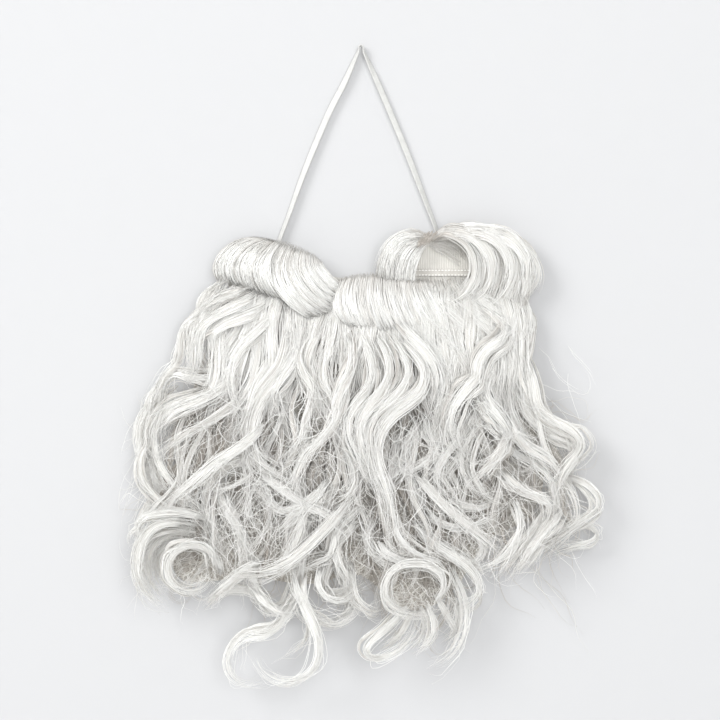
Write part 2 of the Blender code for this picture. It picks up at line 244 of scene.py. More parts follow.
hair = hair_material("white_hair", 0.34, 0.35)

# %% [markdown]
# Everything made of hair is a bundle of thin closed tubes. Hair curves, or a bevelled curve for
# each strand, would do as well, but thousands of them are slow to make. So the bundles are joined
# meshes made from arrays: one array of paths gives the rings of all tubes at once.

# %% tubes from arrays
RANDOM = np.random.default_rng(7)
TRIANGLES = {}
STRAND_SIDES = 3


def unit(vectors):
    return vectors / np.maximum(np.linalg.norm(vectors, axis=-1, keepdims=True), 1e-12)


def carried_sides(tangents):
    """A direction across each path that turns with it and never twists about it."""
    sides = np.empty_like(tangents)
    sides[:, 0] = unit(np.cross(tangents[:, 0], np.array([0.31, 0.87, 0.22])))
    for index in range(1, tangents.shape[1]):
        before, tangent = sides[:, index - 1], tangents[:, index]
        sides[:, index] = unit(before - tangent * (before * tangent).sum(-1, keepdims=True))
    return sides


class HairMesh:
    """Gathers closed tubes, and makes them one mesh object with its UV map and tone."""

    def __init__(self, name):
        self.name = name
        self.points, self.corners, self.sizes = [], [], []
        self.places, self.tones = [], []
        self.count = 0

    def add(self, rings, tones, along, across):
        """rings is (tubes, stations, sides, 3); tones, along and across are (tubes, stations)."""
        tubes, stations, sides, _ = rings.shape
        self.points.append(rings.reshape(-1, 3))
        self.tones.append(np.repeat(tones.reshape(-1), sides))
        number = np.arange(tubes * stations * sides).reshape(tubes, stations, sides) + self.count
        after = np.roll(number, -1, axis=2)
        quads = np.stack([number[:, :-1], after[:, :-1], after[:, 1:], number[:, 1:]], axis=-1)
        self.corners.append(quads.reshape(-1))
        self.sizes.append(np.full(quads.size // 4, 4))
        turn = np.arange(sides + 1) / sides
        u = np.broadcast_to(along[:, :, None], (tubes, stations, sides + 1))
        v = across[:, :, None] * turn + RANDOM.random(tubes)[:, None, None]
        uv = np.stack([u, v], axis=-1)
        a, b = uv[:, :-1, :-1], uv[:, :-1, 1:]
        c, d = uv[:, 1:, 1:], uv[:, 1:, :-1]
        self.places.append(np.stack([a, b, c, d], axis=-2).reshape(-1, 2))
        for ring, place in ((number[:, 0, ::-1], uv[:, 0, -2::-1]), (number[:, -1], uv[:, -1, :-1])):
            self.corners.append(ring.reshape(-1))
            self.sizes.append(np.full(tubes, sides))
            self.places.append(place.reshape(-1, 2))
        self.count += tubes * stations * sides

    def finish(self, material):
        points = np.concatenate(self.points)
        corners = np.concatenate(self.corners).astype(np.int32)
        sizes = np.concatenate(self.sizes)
        mesh = bpy.data.meshes.new(self.name)
        mesh.vertices.add(len(points))
        mesh.vertices.foreach_set("co", points.astype(np.float32).reshape(-1))
        mesh.loops.add(len(corners))
        mesh.loops.foreach_set("vertex_index", corners)
        mesh.polygons.add(len(sizes))
        starts = np.concatenate([[0], np.cumsum(sizes)[:-1]]).astype(np.int32)
        mesh.polygons.foreach_set("loop_start", starts)
        mesh.update(calc_edges=True)
        mesh.shade_smooth()
        uv = mesh.uv_layers.new(name="fibre")
        uv.data.foreach_set("uv", np.concatenate(self.places).astype(np.float32).reshape(-1))
        tone = mesh.attributes.new("tone", "FLOAT", "POINT")
        tone.data.foreach_set("value", np.concatenate(self.tones).astype(np.float32))
        mesh.materials.append(material)
        made = bpy.data.objects.new(self.name, mesh)
        bpy.context.scene.collection.objects.link(made)
        triangles = int((sizes - 2).sum())
        TRIANGLES[self.name] = triangles
        print(f"{self.name}: {triangles} triangles")
        return made


def add_strands(mesh, paths, radii, tones):
    """Thin round strands along paths (strands, stations, 3), with radii and tones per station."""
    tangents = unit(np.gradient(paths, axis=1))
    sides = carried_sides(tangents)
    ups = np.cross(tangents, sides)
    angles = 2 * np.pi * np.arange(STRAND_SIDES) / STRAND_SIDES
    spokes = sides[:, :, None] * np.cos(angles)[:, None] + ups[:, :, None] * np.sin(angles)[:, None]
    rings = paths[:, :, None] + radii[:, :, None, None] * spokes
    steps = np.linalg.norm(np.diff(paths, axis=1), axis=-1)
    along = np.concatenate([np.zeros((len(paths), 1)), np.cumsum(steps, axis=1)], axis=1)
    mesh.add(rings, tones, along, radii * 6)


# %% [markdown]
# A lock is drawn as a few points in the view. A smooth curve runs through them. A curled lock is
# really a flat ribbon wound round a long, thin cylinder: where its line leans one way it crosses in
# front of the cylinder, and where it leans the other way it passes behind. So the depth of the lock
# and the turn of its face are worked out from how its line swings about its own middle line.

# %% the path of a lock
LINE_STEP = 3.0
LONGEST_STEP = 15.0
BEND_PER_STATION = 0.46
SWING_WINDOW = 95.0


def smooth_line(points, step):
    """Picture points a step apart on a smooth curve through the given ones (Catmull-Rom)."""
    points = np.asarray(points, float)
    ends = np.vstack([2 * points[0] - points[1], points, 2 * points[-1] - points[-2]])
    t = np.linspace(0, 1, 12, endpoint=False)[:, None]
    dense = []
    for before, start, end, after in zip(ends, ends[1:], ends[2:], ends[3:]):
        bend = (2 * before - 5 * start + 4 * end - after) * t**2
        turn = (3 * start - before - 3 * end + after) * t**3
        dense.append(0.5 * (2 * start + (end - before) * t + bend + turn))
    dense = np.vstack([*dense, points[-1:]])
    pieces = np.linalg.norm(np.diff(dense[:, :2], axis=0), axis=1)
    length = np.concatenate([[0], np.cumsum(pieces)])
    count = max(6, int(round(length[-1] / step)) + 1)
    even = np.linspace(0, length[-1], count)
    columns = range(dense.shape[1])
    return np.stack([np.interp(even, length, dense[:, column]) for column in columns], axis=1)


def swing_of(line, step):
    """How far the line stands from its own middle line, and how steeply it crosses that."""
    half = max(1, int(SWING_WINDOW / step / 2))
    start = 2 * line[0] - line[half:0:-1] if len(line) > half else np.repeat(line[:1], half, 0)
    end = 2 * line[-1] - line[-2 : -half - 2 : -1] if len(line) > half else np.repeat(line[-1:], half, 0)
    padded = np.vstack([start, line, end])
    window = np.ones(2 * half + 1) / (2 * half + 1)
    middle = np.stack([np.convolve(padded[:, axis], window, "valid") for axis in (0, 1)], axis=1)
    middle = middle[: len(line)]
    heading = unit(np.gradient(middle, axis=0))
    across = np.stack([-heading[:, 1], heading[:, 0]], axis=1)
    swing = ((line - middle) * across).sum(axis=1)
    slope = np.gradient(swing) / step
    return swing, slope, across


def picked_stations(line):
    """Places along a fine line, closer together where it bends."""
    steps = np.gradient(line, axis=0)
    heading = np.unwrap(np.arctan2(steps[:, 1], steps[:, 0]))
    cost = LINE_STEP / LONGEST_STEP + np.abs(np.gradient(heading)) / BEND_PER_STATION
    total = np.concatenate([[0], np.cumsum(cost[1:])])
    count = max(5, int(round(total[-1])) + 1)
    return np.interp(np.linspace(0, total[-1], count), total, np.arange(len(line)))


def sampled(values, places):
    """The rows of an array at fractional places."""
    values = values.reshape(len(values), -1)
    index = np.arange(len(values))
    return np.stack([np.interp(places, index, column) for column in values.T], axis=1)


def eased(share):
    """A smooth rise from 0 to 1."""
    share = np.clip(share, 0, 1)
    return share * share * (3 - 2 * share)


def slow_noise(count, stations, waves):
    """Smooth random values between about -1 and 1 along each of several paths."""
    t = np.linspace(0, 1, stations)
    total = np.zeros((count, stations))
    for wave in (0.5, 1.0, 2.1):
        phase = RANDOM.random((count, 1)) * 2 * np.pi
        total += np.sin(2 * np.pi * waves * wave * t + phase) / (1 + wave)
    return total / 1.1


# %% [markdown]
# The lock itself. It could be one ribbon with hair painted on it, but a ribbon is flat from the
# side and clean at its edges. So it is made of strands side by side, which go together in clumps of
# one tone and height, drift, and part from each other towards the tip. Clump tones differ at random;
# the darker clumps lie lower, so their tone is partly painted shade in the slits between clumps. A
# thin, flattened core lies a little behind them, so that no gap in the lock is empty; its darker
# tone is painted shade between the strands.

# %% a lock of hair
CORE_SIDES = 6
CORE_SHARE = 0.8
# Painted shade: the core is darker, as the shadow between the strands.
CORE_TONE = 0.3
STRAND_RADIUS = 0.26
CLUMP_WIDTH = 2.1
# How dark the darkest clumps get: random tone, and partly painted shade of the slits.
CLUMP_SHADE = 0.55
CORE_BEHIND = 0.6
LEAST_HALF_THICKNESS = 0.12
SINK_SHARE, DIVE_SHARE = 0.25, 0.3
OPENING_SHARE, CLOSING_SHARE = 0.2, 0.32
FULL_SWING = 11.0
FRONT_SHARE, STRAY_SHARE = 0.85, 0.2
STRAY_REACH, FRAY_REACH = 3.2, 2.0
TONE_LIMITS = (-0.15, 1.0)
TOWARDS_VIEWER = np.array([0.0, -1.0, 0.0])


def clumps_of(share, count, shade=CLUMP_SHADE):
    """A tone and a height in mm for strands at shares across: neighbours go together in clumps."""
    count = max(3, int(count))
    which = np.clip((share * count).astype(int), 0, count - 1)
    # Random tones; darker clumps are set lower, so their darkness is partly painted shade.
    tones = shade * RANDOM.random(count) ** 2.5 - 0.06
    heights = 0.45 * RANDOM.random(count) - tones
    return tones[which][:, None], heights[which][:, None]


def lock(
    mesh, points, near, width, strands, tone=0.0, hand=1, depth_swing=4.0, lean=0.7, flatness=0.13,
    root=0.45, tip=0.5, arch=0.0, painted_root_shade=0.0, sink=5.0, dive=0.0, clump=CLUMP_SHADE,
):
    """Adds one lock. near is a pair of depths in mm or a function of the view's height.

    root and tip are the shares of the width there, sink and dive how far the two ends go back in
    mm, arch how far the middle comes forward, and painted_root_shade the painted shade at the root.
    """
    fine = smooth_line(points, LINE_STEP)
    places = picked_stations(fine)
    stations = len(places)
    t = places / (len(fine) - 1)
    swing, slope, across = swing_of(fine, LINE_STEP)
    line, across = sampled(fine, places), unit(sampled(across, places))
    swing, slope = sampled(swing, places)[:, 0], sampled(slope, places)[:, 0]
    depth = near(line[:, 1]) if callable(near) else near[0] + (near[1] - near[0]) * t
    depth = depth + hand * depth_swing * np.clip(slope * 1.5, -1, 1) + arch * np.sin(np.pi * t)
    depth = depth - sink * (1 - eased(t / SINK_SHARE)) - dive * (1 - eased((1 - t) / DIVE_SHARE))
    middle = seen(line, depth)
    tangent = unit(np.gradient(middle, axis=0))
    turn = np.clip(swing / FULL_SWING, -1, 1) * lean + 0.25 * slow_noise(1, stations, 1.5)[0]
    outward = np.stack([across[:, 0], np.zeros(stations), -across[:, 1]], axis=1)
    face = unit(TOWARDS_VIEWER + outward * turn[:, None] * 1.3)
    side = unit(np.cross(face, tangent))
    face = np.cross(tangent, side)

    opening = root + (1 - root) * eased(t / OPENING_SHARE)
    closing = tip + (1 - tip) * eased((1 - t) / CLOSING_SHARE)
    swell = 1 + 0.12 * slow_noise(1, stations, 2.0)[0]
    half_width = width / 2 * UNIT * opening * closing * swell
    half_thick = half_width * flatness + LEAST_HALF_THICKNESS * MM
    # Painted shade at the root, where the hair turns back, fading out over the first 0.4 of the lock.
    shade = painted_root_shade * np.clip(1 - t / 0.4, 0, 1)

    lengths = np.linalg.norm(np.diff(middle, axis=0), axis=1)
    along = np.concatenate([[0], np.cumsum(lengths)])
    angles = 2 * np.pi * np.arange(CORE_SIDES) / CORE_SIDES
    taper = CORE_SHARE * (0.04 + 0.96 * eased((1 - t - 0.08) / 0.55)) * (0.2 + 0.8 * eased(t / 0.1))
    spread = (half_width * taper)[:, None, None] * np.cos(angles)[:, None] * side[:, None]
    rise = (half_thick * taper)[:, None, None] * np.sin(angles)[:, None] * face[:, None]
    rings = (middle - CORE_BEHIND * MM * face)[:, None] + spread + rise
    # The core's darker tone is painted shade, with the painted root shade on top.
    mesh.add(rings[None], (tone + CORE_TONE + shade)[None], along[None], (half_width * 4)[None])

    place = (RANDOM.permutation(strands) + RANDOM.random(strands)) / strands * 2 - 1
    clump_tones, clump_heights = clumps_of((place + 1) / 2, width / CLUMP_WIDTH, clump)
    place = place[:, None] + 0.1 * slow_noise(strands, stations, 1.2)
    front = np.where(RANDOM.random((strands, 1)) < FRONT_SHARE, 1.0, -1.0)
    rise = front * np.sqrt(np.clip(1 - place**2, 0, 1))
    stray = (RANDOM.random((strands, 1)) < STRAY_SHARE) * (0.3 + t) * slow_noise(strands, stations, 1.1)
    fray = t**2 * RANDOM.standard_normal((strands, 1))
    wide = half_width * place + MM * (STRAY_REACH * stray + FRAY_REACH * fray)
    heap = clump_heights + RANDOM.uniform(-0.1, 0.25, (strands, 1))
    heap = heap + 0.2 * slow_noise(strands, stations, 1.4)
    thick = half_thick * rise + heap * front * MM
    paths = middle + wide[..., None] * side + thick[..., None] * face
    paths = trimmed(paths, RANDOM.uniform(0.0, 0.06, strands), RANDOM.uniform(0.78, 1.0, strands))
    radius = STRAND_RADIUS * MM * RANDOM.uniform(0.7, 1.15, (strands, 1))
    radii = radius * np.clip((1 - t) / 0.3, 0.25, 1) * np.clip(0.6 + t / 0.1, 0.6, 1)
    tones = tone + clump_tones + RANDOM.normal(0, 0.08, (strands, 1))
    tones = tones + 0.05 * slow_noise(strands, stations, 1.5) + shade
    add_strands(mesh, paths, radii, np.clip(tones, *TONE_LIMITS))


def trimmed(paths, begins, ends):
    """Each path from one share of its length to another, with as many stations as before."""
    count, stations, _ = paths.shape
    wanted = begins[:, None] + (ends - begins)[:, None] * np.linspace(0, 1, stations)
    place = wanted * (stations - 1)
    low = np.clip(place.astype(int), 0, stations - 2)
    share = (place - low)[..., None]
    row = np.arange(count)[:, None]
    return paths[row, low] * (1 - share) + paths[row, low + 1] * share


# %% [markdown]
# The rolls along the top edge are hair that comes up behind, turns over forward and is tucked in
# underneath. A bevelled curve would be round everywhere, so a roll is drawn by its crest and its
# hem, which give each place its own height. Its core is a closed form between them, drawn in a
# little between its bunches, and a few strands run round its front from the crest to the hem.

# %% a roll of hair
ROLL_CORE_SIDES = 22
ROLL_RING_STEP, ROLL_GIRTH = 2.4, 80
ROLL_CORE_TONE = 0.12
ROLL_STATIONS = 15
ROLL_STRAND_RADIUS = 0.36
ROLL_PAINTED_SHADE = 0.35


def along_line(points, t):
    """Points at shares t of the length of a line of picture points."""
    line = smooth_line(points, LINE_STEP)
    return np.stack([np.interp(t, np.linspace(0, 1, len(line)), line[:, a]) for a in (0, 1)], axis=-1)


def roll(mesh, crest, hem, middle_near, half_depth, bow, strands, bunches, slant):
    """Adds a roll. bow is how far its strands bulge sideways, in picture units."""

    def surface(t, angle, proud):
        top, low = along_line(crest, t), along_line(hem, t)
        ends = np.clip(np.minimum(t, 1 - t) / 0.16, 0.0, 1.0)
        ends = np.sqrt(1 - (1 - ends) ** 2) * 0.92 + 0.08
        bunch = bunches * (t + 0.015 * np.sin(23 * t)) + 0.12
        groove = 0.86 + 0.14 * np.abs(np.sin(np.pi * bunch)) ** 0.55
        half = (top - low) / 2
        size = (0.82 + 0.18 * ends) * (0.94 + 0.06 * groove)
        centre = (top + low) / 2
        place = centre + half * (np.cos(angle) * size * proud)[..., None]
        sideways = np.stack([np.full_like(t, bow), np.zeros_like(t)], axis=-1)
        place = place + sideways * (np.sin(angle) * size)[..., None]
        depth = middle_near + half_depth * ends * groove * np.sin(angle) * proud
        return seen(place, depth)

    rings = max(18, len(smooth_line(crest, LINE_STEP)))
    t = np.linspace(0, 1, rings)[:, None] * np.ones(ROLL_CORE_SIDES)
    angle = 2 * np.pi * np.arange(ROLL_CORE_SIDES) / ROLL_CORE_SIDES * np.ones((rings, 1))
    core = surface(t, angle, 0.97)
    turned = core.transpose(1, 0, 2)
    along = np.broadcast_to(np.arange(rings) * ROLL_RING_STEP * MM, (1, rings))
    girth = np.full((1, rings), ROLL_GIRTH * MM)
    check = np.cross(turned[1, 1] - turned[0, 1], turned[0, 2] - turned[0, 1])
    outward = turned[0, 1] - turned[:, 1].mean(axis=0)
    rings_array = core[None] if (check * outward).sum() > 0 else core[None, :, ::-1]
    mesh.add(rings_array, np.full((1, rings), ROLL_CORE_TONE), along, girth)

    s = np.linspace(0, 1, ROLL_STATIONS)
    start = RANDOM.random((strands, 1))
    reach = np.radians(RANDOM.uniform(-28, 8, (strands, 1)))
    finish_at = np.radians(RANDOM.uniform(150, 205, (strands, 1)))
    sweep = reach + (finish_at - reach) * s
    drift = 0.02 * slow_noise(strands, ROLL_STATIONS, 0.8)
    place = np.clip(start + slant * (sweep / np.pi - 0.5) + drift, 0, 1)
    proud = 1.0 + 0.018 * slow_noise(strands, ROLL_STATIONS, 1.0) + RANDOM.uniform(-0.012, 0.02, (strands, 1))
    paths = surface(place, sweep, proud)
    radii = ROLL_STRAND_RADIUS * MM * RANDOM.uniform(0.6, 1.2, (strands, 1))
    radii = radii * np.sin(np.pi * (0.08 + 0.84 * s)) ** 0.4
    # Painted shade: the strands are darker at the crest and the hem, where they turn away from the front.
    painted_turned_away_shade = np.clip(np.abs(sweep - np.pi / 2) / (np.pi / 2) - 0.45, 0, 1) * ROLL_PAINTED_SHADE
    tones = painted_turned_away_shade + RANDOM.normal(0, 0.07, (strands, 1))
    add_strands(mesh, paths, radii, np.clip(tones, -0.1, 1))


# %% [markdown]
# Depths of the layers. The deepest hair lies close to the hanging plane, and the layers above it
# lean forward more and more towards their tips. Each function takes the height in the view.

# %% layers
TOP_OF_HAIR = 280.0


def layer(base, lean):
    return lambda height: base + lean * (height - TOP_OF_HAIR)


LAYERS = {
    "rear": layer(0.5, 0.004),
    "back": layer(7.0, 0.014),
    "middle": layer(12.0, 0.040),
    "front": layer(17.0, 0.062),
    "top": layer(23.0, 0.070),
}
LOCK_COLUMNS = ("layer", "width", "hand", "points")
WISPS_PER_LOCK, WISP_RADIUS, WISP_AWAY = 5, 0.19, 6.0
STRANDS_PER_WIDTH = 1.55
THIN_LOCK, BROAD_LOCK, BLUNT_LOCK = 8, 12, 13


def add_wisps(mesh, points, near, count):
    """Single fine hairs that follow a lock loosely and stray from it."""
    fine = smooth_line(points, LINE_STEP)
    line = sampled(fine, picked_stations(fine))
    stations = len(line)
    t = np.linspace(0, 1, stations)
    wander = np.stack([slow_noise(count, stations, 1.4), slow_noise(count, stations, 1.4)], axis=-1)
    shift = RANDOM.normal(0, WISP_AWAY * 0.6, (count, 1, 2))
    path = line + shift + wander * (WISP_AWAY * (0.4 + t))[:, None]
    depth = near(path[..., 1]) + RANDOM.uniform(-2, 3, (count, 1))
    radii = WISP_RADIUS * MM * RANDOM.uniform(0.7, 1.3, (count, 1)) * np.clip((1 - t) / 0.3, 0.4, 1)
    tones = RANDOM.uniform(-0.1, 0.25, (count, 1)) + t * 0
    add_strands(mesh, seen(path, depth), radii, tones)


def add_locks(mesh, table):
    """The locks of a table, with thinner companions beside and a little behind each."""
    for row in table:
        entry = dict(zip(LOCK_COLUMNS, row))
        near = LAYERS[entry["layer"]]
        wide = entry["width"]
        lift = RANDOM.uniform(-1.0, 1.0)
        strands = int(5 + STRANDS_PER_WIDTH * wide)
        lock(mesh, entry["points"], lambda y: near(y) + lift, wide * (1.0 if wide > THIN_LOCK else 1.1),
             strands, hand=entry["hand"], tone=RANDOM.uniform(-0.15, -0.02),
             tip=0.7 if wide > BLUNT_LOCK else 0.5)
        add_wisps(mesh, entry["points"], lambda y: near(y) + lift + 2.0, WISPS_PER_LOCK)
        for _ in range(3 if wide > BROAD_LOCK else 2 if wide > THIN_LOCK else 1):
            shift = np.clip(RANDOM.normal(0, 1, 2), -1.1, 1.1) * (2.5 + 0.32 * wide)
            points = np.asarray(entry["points"], float)
            beside = points + shift + RANDOM.normal(0, 1.6, points.shape)
            deeper = lift - RANDOM.uniform(1.0, 4.5)
            lock(mesh, beside, lambda y: near(y) + deeper, wide * RANDOM.uniform(0.3, 0.55),
                 int(3 + strands * 0.28), hand=entry["hand"], tone=RANDOM.uniform(-0.05, 0.2))


# %% [markdown]
# The locks that can be told apart, a row each: its layer, its width, which way it is wound, and
# points along it from root to tip, in picture units. No rule would lay them as they hang, so they
# are drawn one by one. First the left side.

# %% locks of the left side
LEFT_LOCKS = (
    ("middle", 10, 1, ((226, 282), (210, 290), (201, 303), (200, 315), (190, 322), (182, 333), (180, 350),
     (177, 363), (166, 374), (159, 388), (153, 402), (146, 418))),
    ("middle", 8, -1, ((240, 290), (222, 300), (208, 310), (197, 320), (189, 333), (187, 348), (191, 362),
     (197, 374))),
    ("front", 16, 1, ((262, 290), (246, 299), (228, 308), (211, 317), (199, 329), (196, 345), (200, 360),
     (207, 373))),
    ("front", 14, 1, ((275, 296), (262, 309), (245, 317), (228, 323), (214, 332), (211, 346), (216, 360),
     (223, 373))),
    ("front", 12, -1, ((250, 286), (232, 294), (216, 300), (205, 308), (200, 318))),
    ("middle", 9, 1, ((236, 350), (232, 365), (221, 373), (206, 379), (190, 377), (175, 373), (165, 379),
     (160, 392), (158, 408), (155, 424))),
    ("front", 13, 1, ((238, 372), (226, 385), (209, 397), (190, 405), (174, 412), (163, 423),
     (157, 438))),
    ("middle", 10, 1, ((226, 384), (210, 392), (193, 398), (176, 404), (163, 414), (155, 428), (152, 444),
     (155, 460))),
    ("front", 9, 1, ((244, 392), (232, 405), (215, 417), (197, 427), (180, 437), (166, 449), (158, 459))),
    ("back", 12, 1, ((170, 388), (154, 402), (143, 416), (138, 432), (140, 450), (147, 468), (158, 486),
     (173, 497), (191, 504), (205, 516), (213, 532), (218, 550))),
    ("middle", 8, 1, ((176, 402), (161, 416), (154, 432), (155, 450), (161, 468), (172, 484), (186, 497),
     (201, 509), (211, 524), (216, 540))),
    ("back", 8, 1, ((164, 380), (150, 396), (146, 414), (147, 434), (151, 454), (150, 474), (153, 492),
     (163, 508))),
    ("top", 12, -1, ((264, 424), (252, 438), (234, 451), (216, 463), (201, 475), (187, 488), (174, 499),
     (166, 512))),
    ("middle", 10, 1, ((262, 452), (243, 460), (226, 467), (213, 479), (206, 494), (205, 510), (210, 526),
     (218, 541), (223, 556), (224, 572))),
    ("front", 4, 1, ((256, 470), (246, 479), (234, 486), (220, 490), (210, 490))),
    ("middle", 6, -1, ((216, 488), (226, 502), (234, 518), (239, 535), (241, 552), (241, 570),
     (236, 582))),
    ("middle", 10, -1, ((226, 470), (219, 486), (222, 504), (232, 520), (241, 536), (247, 554),
     (250, 572), (248, 588))),
    ("back", 10, 1, ((206, 470), (197, 488), (193, 505), (198, 522), (209, 536), (216, 550), (219, 566))),
    ("middle", 9, 1, ((150, 440), (141, 458), (142, 478), (152, 494), (166, 506), (180, 518), (190, 532),
     (192, 545))),
    ("back", 7, -1, ((142, 452), (150, 470), (156, 488), (150, 504), (142, 516), (138, 530), (144, 544),
     (152, 556))),
    ("front", 10, 1, ((206, 520), (190, 514), (172, 512), (156, 514), (143, 519), (137, 528), (138, 540),
     (146, 549))),
    ("front", 14, 1, ((186, 524), (168, 522), (152, 528), (142, 540), (137, 555), (136, 570), (141, 585),
     (151, 597), (163, 603))),
    ("middle", 12, 1, ((196, 532), (178, 531), (162, 537), (151, 549), (147, 564), (149, 580), (157, 594),
     (168, 602))),
    ("middle", 9, 1, ((190, 540), (174, 541), (162, 550), (157, 563), (160, 577), (168, 588))),
    ("top", 11, 1, ((213, 566), (211, 553), (200, 546), (186, 546), (174, 553), (168, 565), (170, 579),
     (180, 589), (194, 591), (206, 585), (213, 573), (212, 560))),
    ("front", 8, 1, ((222, 574), (218, 560), (208, 549), (194, 543), (180, 545), (171, 552))),
    ("top", 12, 1, ((350, 500), (334, 519), (317, 538), (299, 554), (280, 566), (260, 572), (243, 572),
     (230, 577))),
    ("front", 10, 1, ((306, 498), (304, 518), (298, 538), (288, 556), (275, 568))),
    ("front", 11, 1, ((262, 560), (250, 567), (238, 575), (226, 586), (213, 597), (203, 606))),
    ("middle", 8, -1, ((208, 603), (215, 596), (225, 591), (238, 590), (250, 592), (262, 599), (274, 608),
     (287, 616))),
)
print(len(LEFT_LOCKS), "locks on the left side")

# %% [markdown]
# The middle: broad, smooth waves that part and cross each other lower down, and the two loops that
# hang lowest, like a heart.

# %% locks of the middle
MIDDLE_LOCKS = (
    ("front", 18, 1, ((284, 305), (288, 325), (288, 346), (282, 367), (269, 385), (258, 402), (252, 420),
     (250, 440), (256, 458), (270, 470), (287, 479), (300, 492), (307, 506))),
    ("front", 12, 1, ((276, 300), (270, 318), (257, 332), (243, 345), (234, 360), (231, 378), (233, 395),
     (240, 410), (250, 424))),
    ("middle", 11, 1, ((272, 322), (262, 338), (251, 352), (244, 368), (243, 385), (247, 400), (240, 416),
     (228, 430))),
    ("front", 10, -1, ((290, 335), (280, 350), (268, 363), (259, 378), (252, 394), (247, 412), (240, 430),
     (226, 444))),
    ("middle", 11, -1, ((232, 326), (222, 340), (220, 356), (226, 372), (230, 388), (226, 402))),
    ("middle", 11, 1, ((296, 380), (286, 396), (289, 412), (296, 427), (296, 445), (287, 460),
     (279, 474))),
    ("front", 9, 1, ((306, 372), (312, 388), (310, 405), (304, 420), (302, 436), (294, 452), (284, 466))),
    ("front", 11, -1, ((312, 320), (303, 338), (298, 356), (303, 374), (313, 390), (318, 406), (314, 422),
     (306, 438))),
    ("front", 9, 1, ((326, 318), (316, 334), (309, 350), (307, 366), (313, 382), (322, 397), (326, 413),
     (320, 430))),
    ("front", 13, 1, ((300, 318), (297, 340), (292, 360), (281, 378), (272, 394), (275, 410),
     (285, 424))),
    ("top", 10, -1, ((350, 372), (345, 390), (340, 408), (333, 426), (320, 442), (306, 455), (298, 472),
     (291, 489), (279, 503))),
    ("front", 9, 1, ((318, 398), (328, 414), (338, 430), (347, 447), (354, 464), (356, 480), (350, 494),
     (337, 504), (323, 512))),
    ("front", 12, -1, ((336, 330), (330, 348), (323, 366), (324, 384), (331, 400), (339, 416),
     (346, 432))),
    ("top", 11, 1, ((348, 333), (353, 352), (350, 372), (341, 390), (335, 408), (340, 424), (350, 440))),
    ("top", 12, -1, ((362, 335), (370, 354), (373, 373), (367, 391), (355, 406), (348, 422), (350, 440),
     (358, 457), (367, 474), (376, 490))),
    ("top", 13, -1, ((377, 335), (388, 354), (391, 374), (383, 392), (369, 406), (360, 422), (359, 440),
     (364, 458), (371, 476), (379, 494))),
    ("top", 12, -1, ((392, 335), (404, 354), (409, 373), (402, 390), (388, 403), (375, 416), (368, 433),
     (368, 452), (373, 471), (381, 489), (386, 506))),
    ("top", 15, -1, ((404, 342), (419, 358), (426, 374), (422, 391), (408, 404), (393, 415), (382, 430),
     (377, 448), (378, 466), (384, 484), (390, 502), (393, 522), (396, 542), (403, 558))),
    ("front", 10, 1, ((328, 480), (318, 494), (304, 505), (292, 516), (281, 527), (270, 537))),
    ("front", 10, -1, ((262, 474), (277, 486), (293, 497), (309, 506), (325, 514), (340, 521),
     (352, 530))),
    ("middle", 6, 1, ((268, 474), (256, 484), (249, 497), (249, 511), (254, 525), (264, 536))),
    ("front", 10, -1, ((310, 500), (299, 508), (284, 512), (272, 505), (262, 494), (252, 486))),
    ("middle", 11, 1, ((300, 476), (303, 494), (301, 512), (297, 530), (292, 548), (290, 566),
     (294, 582))),
    ("middle", 9, 1, ((312, 508), (306, 526), (304, 544), (302, 562), (299, 580), (300, 598), (307, 612),
     (320, 621), (336, 625), (350, 619), (357, 608), (356, 597))),
    ("front", 6, 1, ((306, 575), (304, 590), (308, 606), (318, 617), (332, 622))),
    ("front", 10, -1, ((362, 504), (350, 516), (338, 528), (334, 543), (330, 556), (317, 563), (303, 569),
     (292, 576))),
    ("front", 9, -1, ((358, 520), (346, 533), (338, 546), (340, 560), (346, 574), (354, 588))),
    ("middle", 12, -1, ((334, 540), (330, 556), (324, 572), (322, 588), (330, 598), (345, 597),
     (356, 588), (368, 580))),
    ("front", 7, -1, ((322, 566), (318, 582), (325, 595), (340, 600), (353, 595))),
    ("middle", 10, 1, ((350, 560), (352, 580), (355, 597), (366, 609), (378, 611), (387, 602))),
    ("back", 12, -1, ((340, 556), (346, 572), (352, 588), (353, 604), (345, 616), (332, 620))),
    ("front", 5, 1, ((255, 590), (266, 604), (281, 614), (296, 618))),
    ("middle", 8, 1, ((250, 560), (252, 578), (260, 594), (272, 606), (287, 613))),
    ("back", 9, 1, ((297, 575), (293, 592), (285, 607), (271, 612), (258, 605), (252, 592))),
    ("front", 9, -1, ((293, 570), (297, 590), (306, 609), (315, 627), (319, 646), (316, 664), (304, 677),
     (288, 682), (272, 678), (260, 668), (254, 657))),
    ("middle", 6, 1, ((300, 585), (293, 603), (284, 617), (271, 626), (256, 629), (242, 634), (231, 646),
     (226, 660), (229, 674), (240, 683), (254, 685), (266, 680))),
    ("front", 5, 1, ((296, 600), (287, 615), (277, 629), (263, 637), (248, 638), (237, 645), (231, 657),
     (232, 669))),
    ("middle", 5, -1, ((290, 590), (303, 606), (308, 624), (305, 640), (294, 650), (282, 657))),
)
print(len(MIDDLE_LOCKS), "locks in the middle")

# %% [markdown]
# The right side: locks that sweep out from under the curls, the long ringlet at the edge with its
# twists, the ring low down, and the loops below it.

